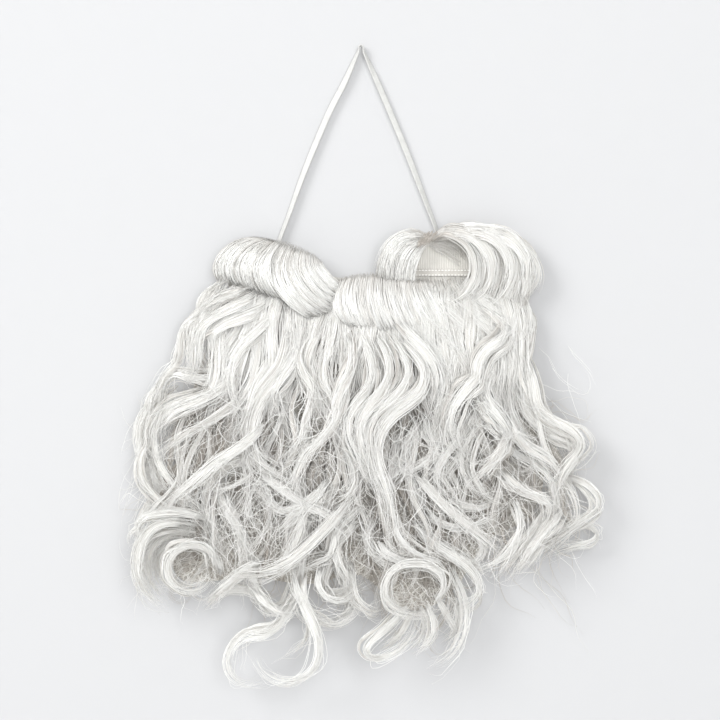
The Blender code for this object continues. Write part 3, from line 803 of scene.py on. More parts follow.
# %% locks of the right side
RIGHT_LOCKS = (
    ("front", 13, 1, ((438, 300), (451, 316), (467, 330), (484, 342), (495, 356), (494, 374), (487, 392),
     (488, 408))),
    ("front", 13, 1, ((458, 303), (476, 316), (491, 330), (501, 346), (505, 364), (503, 384),
     (501, 404))),
    ("front", 11, -1, ((478, 303), (494, 314), (506, 328), (512, 345), (514, 364), (511, 383),
     (506, 402))),
    ("front", 12, 1, ((425, 304), (435, 323), (449, 340), (462, 355), (467, 372), (462, 390), (453, 406),
     (449, 424))),
    ("front", 12, 1, ((412, 312), (421, 332), (433, 350), (444, 366), (449, 384), (445, 402), (438, 420),
     (437, 438))),
    ("top", 12, -1, ((398, 318), (409, 334), (423, 350), (434, 366), (438, 384), (433, 401), (430, 416))),
    ("top", 13, 1, ((509, 316), (508, 329), (500, 341), (486, 350), (478, 364), (475, 379), (463, 392),
     (454, 407), (450, 424), (453, 441), (463, 452), (478, 457))),
    ("front", 16, -1, ((512, 322), (507, 339), (499, 356), (488, 371), (484, 388), (489, 405), (500, 418),
     (508, 432), (504, 448), (491, 461), (478, 474))),
    ("front", 14, 1, ((496, 352), (489, 370), (492, 388), (499, 404), (502, 420))),
    ("middle", 10, 1, ((440, 392), (444, 410), (441, 428), (438, 446), (428, 460), (413, 470), (399, 479),
     (390, 492))),
    ("middle", 9, -1, ((420, 410), (428, 428), (436, 444), (438, 460), (430, 474), (422, 488),
     (424, 504))),
    ("middle", 9, -1, ((404, 430), (396, 446), (397, 462), (406, 474), (414, 488), (418, 504), (416, 520),
     (410, 536))),
    ("middle", 9, 1, ((416, 424), (408, 440), (405, 456), (398, 470), (389, 484), (386, 500))),
    ("top", 12, -1, ((506, 436), (502, 450), (493, 463), (482, 474), (474, 486))),
    ("front", 5, -1, ((490, 424), (480, 437), (474, 452), (472, 467), (477, 482), (486, 495), (499, 503),
     (514, 505))),
    ("front", 4, -1, ((484, 420), (472, 434), (464, 448), (461, 464), (466, 480), (476, 492),
     (490, 498))),
    ("middle", 8, 1, ((478, 386), (480, 404), (474, 421), (466, 437), (462, 453), (452, 466), (444, 480),
     (446, 496))),
    ("middle", 9, 1, ((462, 400), (466, 418), (462, 436), (450, 450), (440, 464), (436, 480), (442, 496),
     (454, 508))),
    ("front", 10, -1, ((420, 478), (432, 492), (446, 507), (462, 521), (479, 535), (494, 548),
     (506, 560))),
    ("middle", 6, -1, ((424, 506), (434, 518), (449, 526), (466, 527), (484, 522), (500, 512),
     (512, 503))),
    ("middle", 8, 1, ((446, 500), (461, 506), (477, 508), (492, 503), (506, 494))),
    ("front", 12, 1, ((500, 470), (511, 482), (524, 491), (540, 497), (550, 506), (548, 520),
     (540, 532))),
    ("front", 9, 1, ((508, 420), (515, 436), (527, 448), (543, 457), (556, 467), (561, 480))),
    ("middle", 8, 1, ((504, 442), (517, 455), (533, 463), (547, 474), (554, 489), (556, 505), (551, 519),
     (541, 531))),
    ("middle", 12, 1, ((510, 352), (506, 372), (506, 392), (509, 412), (518, 430), (532, 443),
     (548, 453))),
    ("middle", 13, 1, ((512, 294), (521, 302), (527, 317), (528, 333), (523, 347), (519, 361), (519, 379),
     (523, 396), (531, 411), (542, 423), (556, 431), (569, 437))),
    ("front", 12, 1, ((523, 352), (530, 370), (534, 389), (538, 406), (549, 418), (563, 425), (576, 434),
     (581, 446), (574, 458), (564, 470), (559, 485), (561, 500), (567, 512), (577, 520))),
    ("middle", 11, 1, ((520, 376), (521, 396), (529, 414), (543, 428), (560, 436), (573, 443), (577, 454),
     (569, 467), (566, 482), (569, 497), (576, 509))),
    ("middle", 9, -1, ((560, 474), (574, 478), (588, 485), (598, 496), (598, 508), (587, 518), (573, 528),
     (559, 539), (545, 548), (530, 555))),
    ("back", 6, 1, ((566, 520), (580, 522), (592, 528), (597, 536), (588, 543), (572, 547), (556, 552),
     (542, 560))),
    ("front", 7, 1, ((513, 500), (519, 514), (520, 529), (514, 544), (503, 557), (489, 566), (476, 569))),
    ("middle", 15, 1, ((548, 508), (541, 523), (531, 538), (520, 552), (511, 566), (506, 577))),
    ("front", 9, 1, ((562, 510), (552, 523), (541, 536), (531, 548), (524, 560), (516, 570))),
    ("back", 11, 1, ((580, 520), (566, 530), (550, 539), (538, 549), (529, 561), (520, 571))),
    ("top", 10, 1, ((436, 600), (444, 588), (441, 574), (429, 565), (414, 563), (399, 566), (388, 576),
     (384, 590), (388, 603), (399, 611), (414, 614), (429, 609), (439, 598))),
    ("front", 9, 1, ((378, 540), (387, 553), (401, 561), (417, 564), (432, 568), (443, 578), (446, 592))),
    ("middle", 9, 1, ((372, 520), (366, 536), (370, 552), (384, 562), (400, 568), (416, 572))),
    ("front", 8, 1, ((392, 520), (398, 536), (408, 549), (421, 557), (436, 562), (448, 572))),
    ("middle", 9, 1, ((412, 520), (424, 534), (438, 546), (454, 556), (468, 567), (477, 580), (478, 594),
     (468, 604), (454, 609), (441, 615))),
    ("front", 8, 1, ((408, 606), (398, 618), (384, 630), (371, 641), (366, 651), (373, 658), (386, 657),
     (400, 650), (411, 638), (418, 622), (420, 606))),
    ("middle", 6, 1, ((412, 610), (405, 626), (394, 640), (380, 650))),
    ("front", 6, -1, ((427, 604), (433, 618), (434, 632), (428, 645), (417, 653))),
    ("middle", 5, -1, ((420, 606), (424, 622), (421, 638), (412, 650))),
    ("middle", 6, 1, ((436, 594), (443, 609), (451, 622), (458, 635))),
    ("middle", 5, -1, ((452, 566), (459, 582), (465, 599), (467, 617), (464, 635), (456, 650), (443, 662),
     (429, 669))),
    ("back", 7, 1, ((446, 590), (456, 604), (458, 620), (452, 634), (440, 644))),
    ("back", 9, -1, ((430, 540), (446, 548), (462, 556), (474, 566), (484, 572))),
    ("middle", 8, -1, ((460, 520), (474, 530), (482, 544), (478, 558), (466, 568))),
)
print(len(RIGHT_LOCKS), "locks on the right side")

# %% [markdown]
# Under the locks that can be told apart lies more hair. Drawing it by hand would take long and
# hardly show, so it follows a rule: a root along the top, a path that fans out, waves that grow
# towards the tip, and often a curl at the end. The deepest of it is thin and frizzy, and its taupe
# tone is painted shade, the shadow deep inside the hair.

# %% hair in the depth
BOTTOM_EDGE = (
    (125, 556), (150, 592), (200, 592), (250, 600), (300, 618), (340, 608), (400, 640), (440, 655),
    (470, 604), (500, 566), (560, 556), (592, 536),
)


DEEP_ROOTS, DEEP_TIPS = (214, 516), (134, 589)
DEEP_STARTS = (330, 430)
DEEP_TOP, DEEP_LENGTH = 300, 300
TIP_LIMITS = (146, 580)
BLANKET_ROOTS = (214, 514)


def between(span, share):
    return span[0] + (span[1] - span[0]) * share


def bottom_at(x):
    edge = np.asarray(BOTTOM_EDGE, float)
    return np.interp(x, edge[:, 0], edge[:, 1])


def waving_path(root, tip, sway, wavelength, curl, turns):
    """Picture points of a waving lock with a curl of a radius at its tip."""
    root, tip = np.asarray(root, float), np.asarray(tip, float)
    length = np.linalg.norm(tip - root)
    heading = (tip - root) / length
    across = np.array([-heading[1], heading[0]])
    count = max(6, int(length / 12))
    t = np.linspace(0, 1, count)[:, None]
    phase = RANDOM.random() * 2 * np.pi
    wave = np.sin(2 * np.pi * length * t / wavelength + phase) * sway * (0.25 + 0.75 * t)
    path = root + heading * length * t + across * wave
    if turns:
        hand = math.copysign(1, turns)
        last = unit(path[-1] - path[-2])
        side = np.array([-last[1], last[0]]) * hand
        middle = path[-1] + side * curl
        angles = np.linspace(0, 2 * np.pi * abs(turns), max(5, int(abs(turns) * 11)))[1:]
        spoke = -side
        turned = [
            middle + (1 - 0.3 * a / angles[-1]) * curl
            * np.array([spoke[0] * math.cos(a * hand) - spoke[1] * math.sin(a * hand),
                        spoke[0] * math.sin(a * hand) + spoke[1] * math.cos(a * hand)])
            for a in angles
        ]
        path = np.vstack([path, turned])
    return path


def add_deep_hair(mesh, span, count, layer_name, tones, widths, strands, low):
    """Waving, curled locks that fan out over a span of the width. low is how far above the edge they end."""
    near = LAYERS[layer_name]
    for index in range(count):
        share = span[0] + (span[1] - span[0]) * (index + RANDOM.random()) / count
        top = between(DEEP_ROOTS, share)
        end = np.clip(between(DEEP_TIPS, share) + RANDOM.normal(0, 8), *TIP_LIMITS)
        height = bottom_at(end) - RANDOM.uniform(*low)
        start = RANDOM.uniform(*DEEP_STARTS)
        part = (start - DEEP_TOP) / DEEP_LENGTH
        root = (top + (end - top) * part, start)
        inward = -1 if share < 0.15 else 1 if share > 0.85 else RANDOM.choice([-1, 1])
        turns = inward * RANDOM.uniform(0.3, 0.8) * (RANDOM.random() < 0.65)
        path = waving_path(root, (end, height), RANDOM.uniform(6, 13), RANDOM.uniform(80, 125),
                           RANDOM.uniform(8, 15), turns)
        lift = RANDOM.uniform(-1.5, 3.0)
        lock(mesh, path, lambda y: near(y) + lift, RANDOM.uniform(*widths), strands,
             tone=RANDOM.uniform(*tones), hand=RANDOM.choice([-1, 1]), depth_swing=2.5)


# the least and the greatest place across the view, and how far a hair may bend past either
FRIZZ_SPAN = (146.0, 578.0, 28.0)


def kept_between(values, low, high, slack):
    """Values bent back smoothly where they pass a limit, and never more than the slack beyond it."""
    over, under = np.maximum(values - high, 0), np.maximum(low - values, 0)
    return np.clip(values, low, high) + slack * (np.tanh(over / slack) - np.tanh(under / slack))


def add_frizz(mesh, count, layer_name, tones, radius, box, lengths, wander, stations, heading, curl, depths):
    """Single fine hairs that start in a box of the view, head off at an angle, wander and curl."""
    near = LAYERS[layer_name]
    t = np.linspace(0, 1, stations)
    left, top, right, low = box
    start = np.stack([RANDOM.uniform(left, right, count), RANDOM.uniform(top, low, count)], axis=1)
    first = np.radians(RANDOM.normal(heading, wander, (count, 1)))
    turn = first + curl * (RANDOM.normal(0, 1.1, (count, 1)) * t + slow_noise(count, stations, 1.3))
    pace = RANDOM.uniform(*lengths, (count, 1)) / stations
    steps = np.stack([np.cos(turn) * pace, np.sin(turn) * pace], axis=-1)
    path = start[:, None] + np.cumsum(steps, axis=1)
    path[..., 0] = kept_between(path[..., 0], *FRIZZ_SPAN)
    depth = near(path[..., 1]) + RANDOM.uniform(*depths, (count, 1))
    depth = depth + 2.0 * curl * slow_noise(count, stations, 1.0)
    radii = radius * MM * RANDOM.uniform(0.7, 1.3, (count, 1)) * np.clip((1 - t) / 0.3, 0.3, 1)
    tone = RANDOM.uniform(*tones, (count, 1)) + t * 0
    add_strands(mesh, seen(path, depth), radii, tone)


CURTAIN_LOCKS = (
    (14, ((388, 279), (393, 292), (398, 310), (400, 330), (398, 350))),
    (14, ((400, 279), (405, 292), (410, 312), (415, 334), (421, 354))),
    (14, ((412, 279), (415, 293), (420, 312), (429, 332), (440, 350))),
    (14, ((424, 279), (427, 293), (434, 311), (446, 329), (460, 345))),
    (14, ((436, 279), (440, 292), (449, 307), (464, 322), (480, 334))),
    (14, ((448, 279), (453, 290), (464, 303), (480, 315), (496, 327))),
    (12, ((460, 279), (467, 288), (480, 298), (495, 308), (508, 320))),
)
CURTAIN_NEAR = (4.5, 20.0)
BLANKET_WIDTH = (14, 20)


def add_blanket(mesh, count):
    """Broad, smooth locks side by side that close the upper part."""
    near = LAYERS["front"]
    for index in range(count):
        share = (index + RANDOM.random()) / count
        top = between(BLANKET_ROOTS, share)
        opening = RANDOM.uniform(0.25, 0.42) if share < 0.5 else RANDOM.uniform(0.05, 0.2)
        spread = (top - HANG_X) * opening
        tip = (top + spread, RANDOM.uniform(380, 440))
        path = waving_path((top, 286), tip, RANDOM.uniform(5, 9), RANDOM.uniform(95, 130), 10, 0)
        lift = RANDOM.uniform(-4.0, -0.5)
        lock(mesh, path, lambda y: near(y) + lift, RANDOM.uniform(*BLANKET_WIDTH), 31,
             tone=RANDOM.uniform(-0.08, 0.03), depth_swing=1.5, root=0.8, clump=0.3)


# %% [markdown]
# The hair in the depth comes from tables, with a row for each set: how many, their layer, tones,
# sizes and places. A row of `DEEP_HAIR` holds what `add_deep_hair` takes after the span, and a row
# of the other two what `add_frizz` takes. The smooth hair over it closes the upper part.

# %% back layer meshes
# The taupe tones of the back rows are painted shade, the shadow deep in the hair.
DEEP_HAIR = (
    (22, "back", (0.4, 0.9), (6, 14), 8, (0.0, 60.0)),
    (14, "middle", (0.0, 0.22), (4, 8), 10, (10.0, 120.0)),
)
# The back and rear rows have taupe tones: painted shade deep in the hair.
FRIZZ = (
    (800, "back", (0.3, 0.95), 0.2, (162, 390, 560, 535), (30, 80), 38, 13, 90, 0.9, (-2, 4)),
    (430, "middle", (-0.05, 0.4), 0.18, (165, 385, 560, 545), (30, 80), 38, 13, 90, 0.9, (-2, 4)),
    (190, "rear", (0.2, 0.9), 0.2, (185, 345, 540, 560), (60, 140), 35, 13, 90, 0.6, (0, 1)),
)
FINE_HAIR = (
    (260, "front", (-0.1, 0.25), 0.17, (190, 380, 545, 520), (50, 120), 30, 15, 90, 0.9, (-2, 4)),
    (150, "top", (-0.1, 0.05), 0.19, (200, 380, 535, 510), (50, 120), 30, 15, 90, 0.9, (-2, 4)),
    (44, "back", (-0.1, 0.2), 0.15, (142, 400, 178, 560), (40, 100), 30, 13, 120, 0.45, (-2, 4)),
    (26, "back", (-0.1, 0.2), 0.12, (525, 340, 572, 540), (35, 75), 14, 13, 60, 0.2, (-2, 4)),
    (40, "front", (-0.1, 0.3), 0.15, (392, 566, 436, 600), (30, 60), 50, 12, 90, 0.9, (-2, 4)),
    (26, "front", (-0.1, 0.3), 0.15, (176, 552, 210, 580), (25, 50), 50, 12, 90, 0.9, (-2, 4)),
)


def deep_hair(name, span):
    mesh = HairMesh(name)
    for row in DEEP_HAIR:
        add_deep_hair(mesh, span, *row)
    return mesh.finish(hair)


def single_hairs(name, table):
    mesh = HairMesh(name)
    for row in table:
        add_frizz(mesh, *row)
    return mesh.finish(hair)


left_deep_hair = deep_hair("deep_hair_left", (0.0, 0.5))
right_deep_hair = deep_hair("deep_hair_right", (0.5, 1.0))
frizz = single_hairs("frizz", FRIZZ)
fine_hair = single_hairs("fine_hair", FINE_HAIR)
blanket_mesh = HairMesh("upper_hair")
add_blanket(blanket_mesh, 38)
for curtain_width, curtain_route in CURTAIN_LOCKS:
    lock(blanket_mesh, curtain_route, CURTAIN_NEAR, curtain_width * 1.3, 30, root=0.9, tip=0.5, arch=3.0,
         depth_swing=1.0, tone=0.0, painted_root_shade=0.18, sink=2.0)
upper_hair = blanket_mesh.finish(hair)

# %% [markdown]
# Over all that go the locks that were drawn one by one. They could be one mesh, but three are easier
# to work on, and none of them gets too heavy to export.

# %% front layer meshes
def locks_of(name, table):
    mesh = HairMesh(name)
    add_locks(mesh, table)
    return mesh.finish(hair)


left_locks = locks_of("left_locks", LEFT_LOCKS)
middle_locks = locks_of("middle_locks", MIDDLE_LOCKS)
right_locks = locks_of("right_locks", RIGHT_LOCKS)

# %% [markdown]
# Over the cores of the rolls the hair is combed: strands side by side that pass from each curl of a
# table to the next. A row holds the depth in mm at the root, how far the middle arches forward, the
# depth at the tip, and points from root to tip. A fan of fine hairs hangs below each roll.

# %% nested curls of the rolls
CURL_COLUMNS = ("root", "arch", "tip", "points")
LEFT_ROLL_CURLS = (
    (3, 9, 6, ((256, 237), (240, 239), (226, 247), (216, 258), (213, 270), (218, 283))),
    (6, 12, 10, ((263, 238), (249, 241), (236, 248), (227, 259), (225, 272), (231, 286))),
    (8, 15, 14, ((270, 239), (258, 243), (247, 251), (239, 262), (238, 275), (245, 290))),
    (9, 17, 17, ((277, 240), (267, 246), (258, 255), (252, 267), (253, 280), (261, 294))),
    (10, 17, 19, ((284, 241), (275, 252), (270, 265), (271, 279), (279, 292), (290, 304))),
)
SLANTING_ROLL_CURLS = (
    (10, 17, 18, ((284, 241), (275, 252), (270, 265), (272, 280), (281, 296), (295, 311), (310, 320))),
    (11, 16, 19, ((291, 243), (284, 254), (281, 267), (284, 281), (293, 296), (307, 309), (322, 318))),
    (12, 15, 19, ((298, 246), (293, 256), (292, 269), (297, 282), (307, 295), (320, 306), (333, 313))),
    (12, 13, 18, ((306, 249), (303, 260), (305, 271), (312, 283), (322, 294), (336, 303))),
    (11, 9, 17, ((314, 254), (314, 264), (319, 274), (328, 284), (340, 293))),
    (10, 6, 15, ((322, 262), (326, 270), (333, 278), (341, 285))),
)
MIDDLE_ROLL_CURLS = (
    (9, 5, 14, ((334, 282), (329, 295), (329, 309), (336, 322))),
    (11, 8, 17, ((343, 277), (337, 293), (338, 311), (349, 328))),
    (11, 10, 18, ((356, 274), (352, 292), (355, 312), (365, 332))),
    (11, 10, 18, ((372, 272), (370, 292), (375, 314), (384, 334))),
    (10, 9, 18, ((387, 274), (388, 293), (394, 314), (404, 334))),
    (9, 8, 17, ((402, 277), (405, 295), (412, 314), (422, 333))),
    (7, 7, 16, ((417, 279), (422, 295), (430, 312), (440, 329))),
    (5, 5, 14, ((430, 280), (437, 294), (446, 308), (456, 322))),
)
COMB_STATIONS, COMB_RADIUS = 12, 0.3
FAN_TAPER = (0.7, 1, 1, 1, 1, 0.9, 0.7, 0.4)
FAN_STATIONS = len(FAN_TAPER)


def evenly(points, count):
    """A number of places, evenly along a smooth curve through picture points."""
    fine = smooth_line(points, LINE_STEP)
    return sampled(fine, np.linspace(0, len(fine) - 1, count))


def add_combed(mesh, table, count, clump_count, shade, layers=(0.0, -2.2), tone=0.0):
    """Hair combed side by side through all the curls of a table, from the first to the last.

    shade is the silver-grey painted shade at the roots; each number in layers is the depth of a layer.
    """
    rows = [dict(zip(CURL_COLUMNS, row)) for row in table]
    lines = np.stack([evenly(row["points"], COMB_STATIONS) for row in rows])
    depths = np.array([[row["root"], row["arch"], row["tip"]] for row in rows], float)
    t = np.linspace(0, 1, COMB_STATIONS)
    for deeper in layers:
        share = (np.arange(count) + RANDOM.random(count)) / count
        clump_tones, clump_heights = clumps_of(share, clump_count)
        place = share * (len(rows) - 1)
        low = np.minimum(place.astype(int), len(rows) - 2)
        mix = (place - low)[:, None, None]
        path = lines[low] * (1 - mix) + lines[low + 1] * mix
        wander = [slow_noise(count, COMB_STATIONS, 0.7) for _ in range(2)]
        path = path + np.stack(wander, axis=-1)
        root, arch, tip = (depths[low] * (1 - mix[:, 0]) + depths[low + 1] * mix[:, 0]).T[:, :, None]
        depth = root + (tip - root) * t + arch * np.sin(np.pi * t) + deeper
        depth = depth + clump_heights * 0.8 + 0.35 * slow_noise(count, COMB_STATIONS, 1.0)
        radii = COMB_RADIUS * MM * RANDOM.uniform(0.75, 1.2, (count, 1))
        radii = radii * np.clip(np.minimum(t, 1 - t) / 0.08, 0.4, 1)
        paths = trimmed(seen(path, depth), RANDOM.uniform(0, 0.05, count), RANDOM.uniform(0.86, 1.0, count))
        # Painted shade at the roots, where the hair turns back: silver grey, fading out by 0.45 of the
        # length.
        painted_shade_at_roots = shade * np.clip(1 - t / 0.45, 0, 1) * (0.75 + 1.2 * (clump_heights - 0.2))
        tones = tone + clump_tones * 0.7 + painted_shade_at_roots + RANDOM.normal(-0.04, 0.06, (count, 1))
        add_strands(mesh, paths, radii, np.clip(tones, *TONE_LIMITS))


def add_fan(mesh, first, second, near, count, radius, tones):
    """Fine hairs side by side between two routes of the view."""
    lines = [evenly(line, FAN_STATIONS) for line in (first, second)]
    share = RANDOM.random((count, 1, 1))
    path = lines[0] + (lines[1] - lines[0]) * share
    wander = [slow_noise(count, FAN_STATIONS, 0.8) for _ in range(2)]
    path = path + np.stack(wander, axis=-1) * 1.6
    depth = np.linspace(*near, FAN_STATIONS) + RANDOM.uniform(-0.5, 0.8, (count, 1))
    radii = radius * MM * RANDOM.uniform(0.7, 1.2, (count, 1)) * np.array(FAN_TAPER)
    paths = trimmed(seen(path, depth), RANDOM.uniform(0, 0.2, count), RANDOM.uniform(0.6, 1.0, count))
    add_strands(mesh, paths, radii, RANDOM.uniform(*tones, (count, 1)) + np.zeros(FAN_STATIONS))


# %% [markdown]
# The three rolls at the left and in the middle. Each gets its core first, then the combed hair over
# it, and then the fan, which hides where the locks come out from under the roll.

# %% rolls
left_roll_mesh = HairMesh("left_roll_hair")
roll(left_roll_mesh,
     ((222, 266), (228, 252), (244, 246), (262, 246), (282, 250)),
     ((226, 274), (240, 278), (254, 284), (268, 289), (282, 290)),
     9.5, 6.5, -3, 20, 2, slant=0.05)
add_combed(left_roll_mesh, LEFT_ROLL_CURLS, 230, 30, 0.5)
add_fan(left_roll_mesh, ((220, 276), (214, 290), (205, 304), (202, 318)),
        ((292, 298), (290, 314), (286, 330), (284, 346)), (11, 18), 110, 0.26, (-0.05, 0.3))
left_roll = left_roll_mesh.finish(hair)

slanting_mesh = HairMesh("slanting_roll_hair")
roll(slanting_mesh,
     ((286, 264), (300, 264), (314, 268), (324, 276), (332, 288)),
     ((284, 288), (292, 302), (304, 310), (318, 314), (330, 308)),
     14, 9, -4, 20, 2, slant=0.12)
add_combed(slanting_mesh, SLANTING_ROLL_CURLS, 230, 30, 0.45)
add_fan(slanting_mesh, ((290, 302), (290, 318), (286, 332), (284, 348)),
        ((332, 312), (334, 328), (333, 344), (336, 358)), (17, 21), 70, 0.26, (-0.05, 0.3))
slanting_roll = slanting_mesh.finish(hair)

middle_roll_mesh = HairMesh("middle_roll_hair")
roll(middle_roll_mesh,
     ((338, 288), (346, 281), (358, 279), (370, 279), (384, 281), (396, 285), (404, 292)),
     ((338, 308), (346, 316), (358, 322), (370, 325), (386, 324), (398, 319), (404, 311)),
     10, 8, 1, 30, 3, slant=0.04)
add_combed(middle_roll_mesh, MIDDLE_ROLL_CURLS, 330, 42, 0.6)
add_fan(middle_roll_mesh, ((337, 318), (338, 334), (338, 350), (334, 366)),
        ((444, 318), (452, 334), (458, 350), (462, 368)), (17, 21), 130, 0.26, (-0.05, 0.3))
middle_roll = middle_roll_mesh.finish(hair)

# %% [markdown]
# The curls over the right corner start at one tuft. The hair is combed round to the right and down,
# and over to the left, with locks on top of it. A row of `CORNER_CURLS` holds the depths at root and
# tip, the points and the width. Fans of fine hair make the grey roots, whose grey is painted shade,
# and the fringe of the tape. The sweep under the locks is darker, which is painted shade too.

# %% curls over the right corner
TUFT = (431, 241)
CORNER_CURLS = (
    (14, 17, (TUFT, (444, 232), (458, 236), (470, 248), (475, 262), (474, 278), (466, 292), (452, 302),
     (438, 307)), 12),
    (12, 20, (TUFT, (450, 231), (468, 234), (484, 245), (492, 260), (492, 278), (484, 294),
     (468, 306)), 18),
    (12, 19, ((446, 238), (466, 230), (486, 233), (503, 245), (512, 261), (511, 280), (501, 297),
     (487, 309)), 18),
    (10, 17, ((470, 238), (490, 231), (508, 237), (522, 251), (528, 268), (524, 286), (513, 300)), 15),
    (6, 12, ((488, 238), (507, 236), (523, 245), (535, 259), (539, 274), (535, 288), (525, 298)), 10),
    (8, 16, ((440, 238), (458, 228), (480, 228), (502, 233), (520, 244)), 10),
    (14, 15, (TUFT, (420, 234), (406, 234), (394, 240), (386, 251), (382, 264), (379, 280)), 9),
    (10, 12, ((520, 262), (527, 278), (524, 294), (516, 306)), 14),
)
CORNER_SWEEP = (
    (8, 8, 8, (TUFT, (446, 233), (460, 239), (470, 250), (474, 264), (472, 280), (465, 294), (458, 306))),
    (7, 9, 10, (TUFT, (454, 231), (473, 238), (485, 251), (489, 267), (487, 284), (480, 300),
     (476, 314))),
    (6, 9, 11, ((446, 236), (468, 231), (489, 239), (503, 253), (507, 270), (504, 287), (498, 303),
     (494, 320))),
    (5, 8, 10, ((468, 235), (490, 233), (508, 242), (520, 257), (522, 274), (519, 290), (514, 305),
     (510, 322))),
    (3, 6, 7, ((488, 236), (506, 237), (521, 246), (532, 260), (534, 276), (531, 290), (527, 303),
     (523, 316))),
)
CORNER_LOBE = (
    (13, 8, 11, (TUFT, (421, 233), (406, 232), (392, 238), (383, 249), (378, 263), (374, 280))),
    (13, 9, 13, (TUFT, (420, 236), (407, 238), (396, 246), (389, 258), (386, 271), (387, 284))),
    (13, 8, 9, (TUFT, (421, 239), (409, 244), (401, 253), (396, 264), (394, 276), (396, 287))),
    (13, 7, 7, (TUFT, (424, 241), (415, 248), (409, 257), (406, 268), (405, 279), (407, 288))),
    (13, 5, 6, (TUFT, (428, 244), (423, 251), (419, 260), (416, 270), (415, 280), (418, 288))),
)
corner_mesh = HairMesh("corner_curls")
# Painted shade: the sweep lies under the locks and is darker so that they stand out.
add_combed(corner_mesh, CORNER_SWEEP, 150, 26, 0.7, (0.0,), tone=0.16)
add_combed(corner_mesh, CORNER_LOBE, 120, 20, 0.7, (0.0, -1.6), tone=-0.04)
for near_root, near_tip, route, curl_width in CORNER_CURLS:
    lock(corner_mesh, route, (near_root, near_tip), curl_width * 1.1, int(8 + 1.5 * curl_width), lean=0.45,
         depth_swing=0.0, arch=6.0, sink=1.5, dive=1.5, root=0.3, tip=0.85, tone=-0.08, painted_root_shade=0.55,
         flatness=0.16)
add_fan(corner_mesh, (TUFT, (446, 240), (462, 247), (472, 258)),
        ((428, 246), (437, 252), (448, 258), (460, 268)), (7, 4), 46, 0.2, (0.1, 0.5))
# Painted shade: the tuft of roots is grey to dark taupe.
add_fan(corner_mesh, ((438, 231), (434, 236), (428, 243), (422, 249)),
        ((428, 231), (424, 236), (419, 241), (414, 246)), (24, 26), 60, 0.24, (0.8, 1.0))
add_fan(corner_mesh, ((392, 276), (391, 284), (392, 296), (396, 308)),
        ((474, 276), (476, 284), (486, 294), (500, 304)), (4.6, 9), 170, 0.24, (0.05, 0.5))
corner_curls = corner_mesh.finish(hair)

# %% [markdown]
# The cloth parts are woven, so one material function serves them all: ribs one way, finer threads
# the other way, and slow changes of colour. The colour is darker where the weave is low, which is
# painted shade in its hollows. It reads the UV map `weave`, in metres. At a scale of 1 the bands of
# a wave texture lie pi / 10 apart, so the scale follows from the pitch of the ribs.

# %% woven material
BAND_SPACING = math.pi / 10


def woven_material(name, light, dark, rib_pitch, thread_pitch, bump):
    material, shader = new_material(name, {"Roughness": 0.75, "Specular IOR Level": 0.3})
    place = add_node(material, "ShaderNodeUVMap", {"uv_map": "weave"}, {})
    heights = [
        add_node(material, "ShaderNodeTexWave", {"bands_direction": direction}, {
            "Scale": BAND_SPACING / pitch, "Distortion": 0.6, "Vector": place.outputs["UV"]}).outputs["Fac"]
        for direction, pitch in (("X", rib_pitch), ("Y", thread_pitch))
    ]
    relief = add_node(material, "ShaderNodeMath", {"operation": "MULTIPLY_ADD"}, {
        0: heights[1], 1: 0.4, 2: heights[0]})
    wear = add_node(material, "ShaderNodeTexNoise", {}, {"Scale": 160.0, "Vector": place.outputs["UV"]})
    # Painted shade and wear: the colour darkens in the hollows of the weave and in slow patches.
    hollow_shade_and_wear = add_node(material, "ShaderNodeMath", {"operation": "MULTIPLY", "use_clamp": True}, {
        0: relief.outputs["Value"], 1: wear.outputs["Fac"]})
    dress(material, shader, hollow_shade_and_wear.outputs["Value"], (dark, light), relief.outputs["Value"], bump, 0.3 * MM)
    return material


# %% [markdown]
# The elastic is one flat woven band. A curve with a flat profile could make it too, but here the
# face has to turn by set amounts. So it is a grid that is bent along the route: up the left leg,
# edge-on round the fold, and down the right leg. A row of the tables holds a place in mm, across and
# up, and how many degrees the band's face is turned away from the viewer there.

# %% elastic
STRAP_WIDTH = 5.0 * MM
STRAP_THICKNESS = 0.8 * MM
STRAP_STEP = 2.0
STRAP_RIBS = 6
FOLD_RADIUS = 1.65
FOLD_MIDDLE = -1.2
LEFT_LEG = (
    (-71, -172, 56), (-64, -151.5, 54), (-57, -133, 50), (-44.8, -99.2, 30), (-26.4, -55.2, 12),
    (-13.4, -29.5, 26), (-2.6, -5, 66),
)
RIGHT_LEG = (
    (2.6, -5, 66), (13.4, -29.5, 30), (28, -64, 26), (38.4, -89.6, 28), (52, -125, 46), (60, -146, 52),
    (66, -167, 54),
)


def strap_route():
    arc = np.linspace(np.pi, 0, 9)
    across, up = FOLD_RADIUS * np.cos(arc), FOLD_RADIUS * np.sin(arc) + FOLD_MIDDLE
    fold = np.stack([across, up, np.full_like(arc, 90)], axis=1)
    return np.vstack([smooth_line(LEFT_LEG, STRAP_STEP), fold, smooth_line(RIGHT_LEG, STRAP_STEP)])


route = strap_route()
route_places = route[:, :2] * MM
headings = unit(np.gradient(route_places, axis=0))
outward = np.stack([-headings[:, 1], headings[:, 0]], axis=1)
turned = np.radians(np.minimum(route[:, 2], 90))
strap_length = np.concatenate([[0], np.cumsum(np.linalg.norm(np.diff(route_places, axis=0), axis=1))])

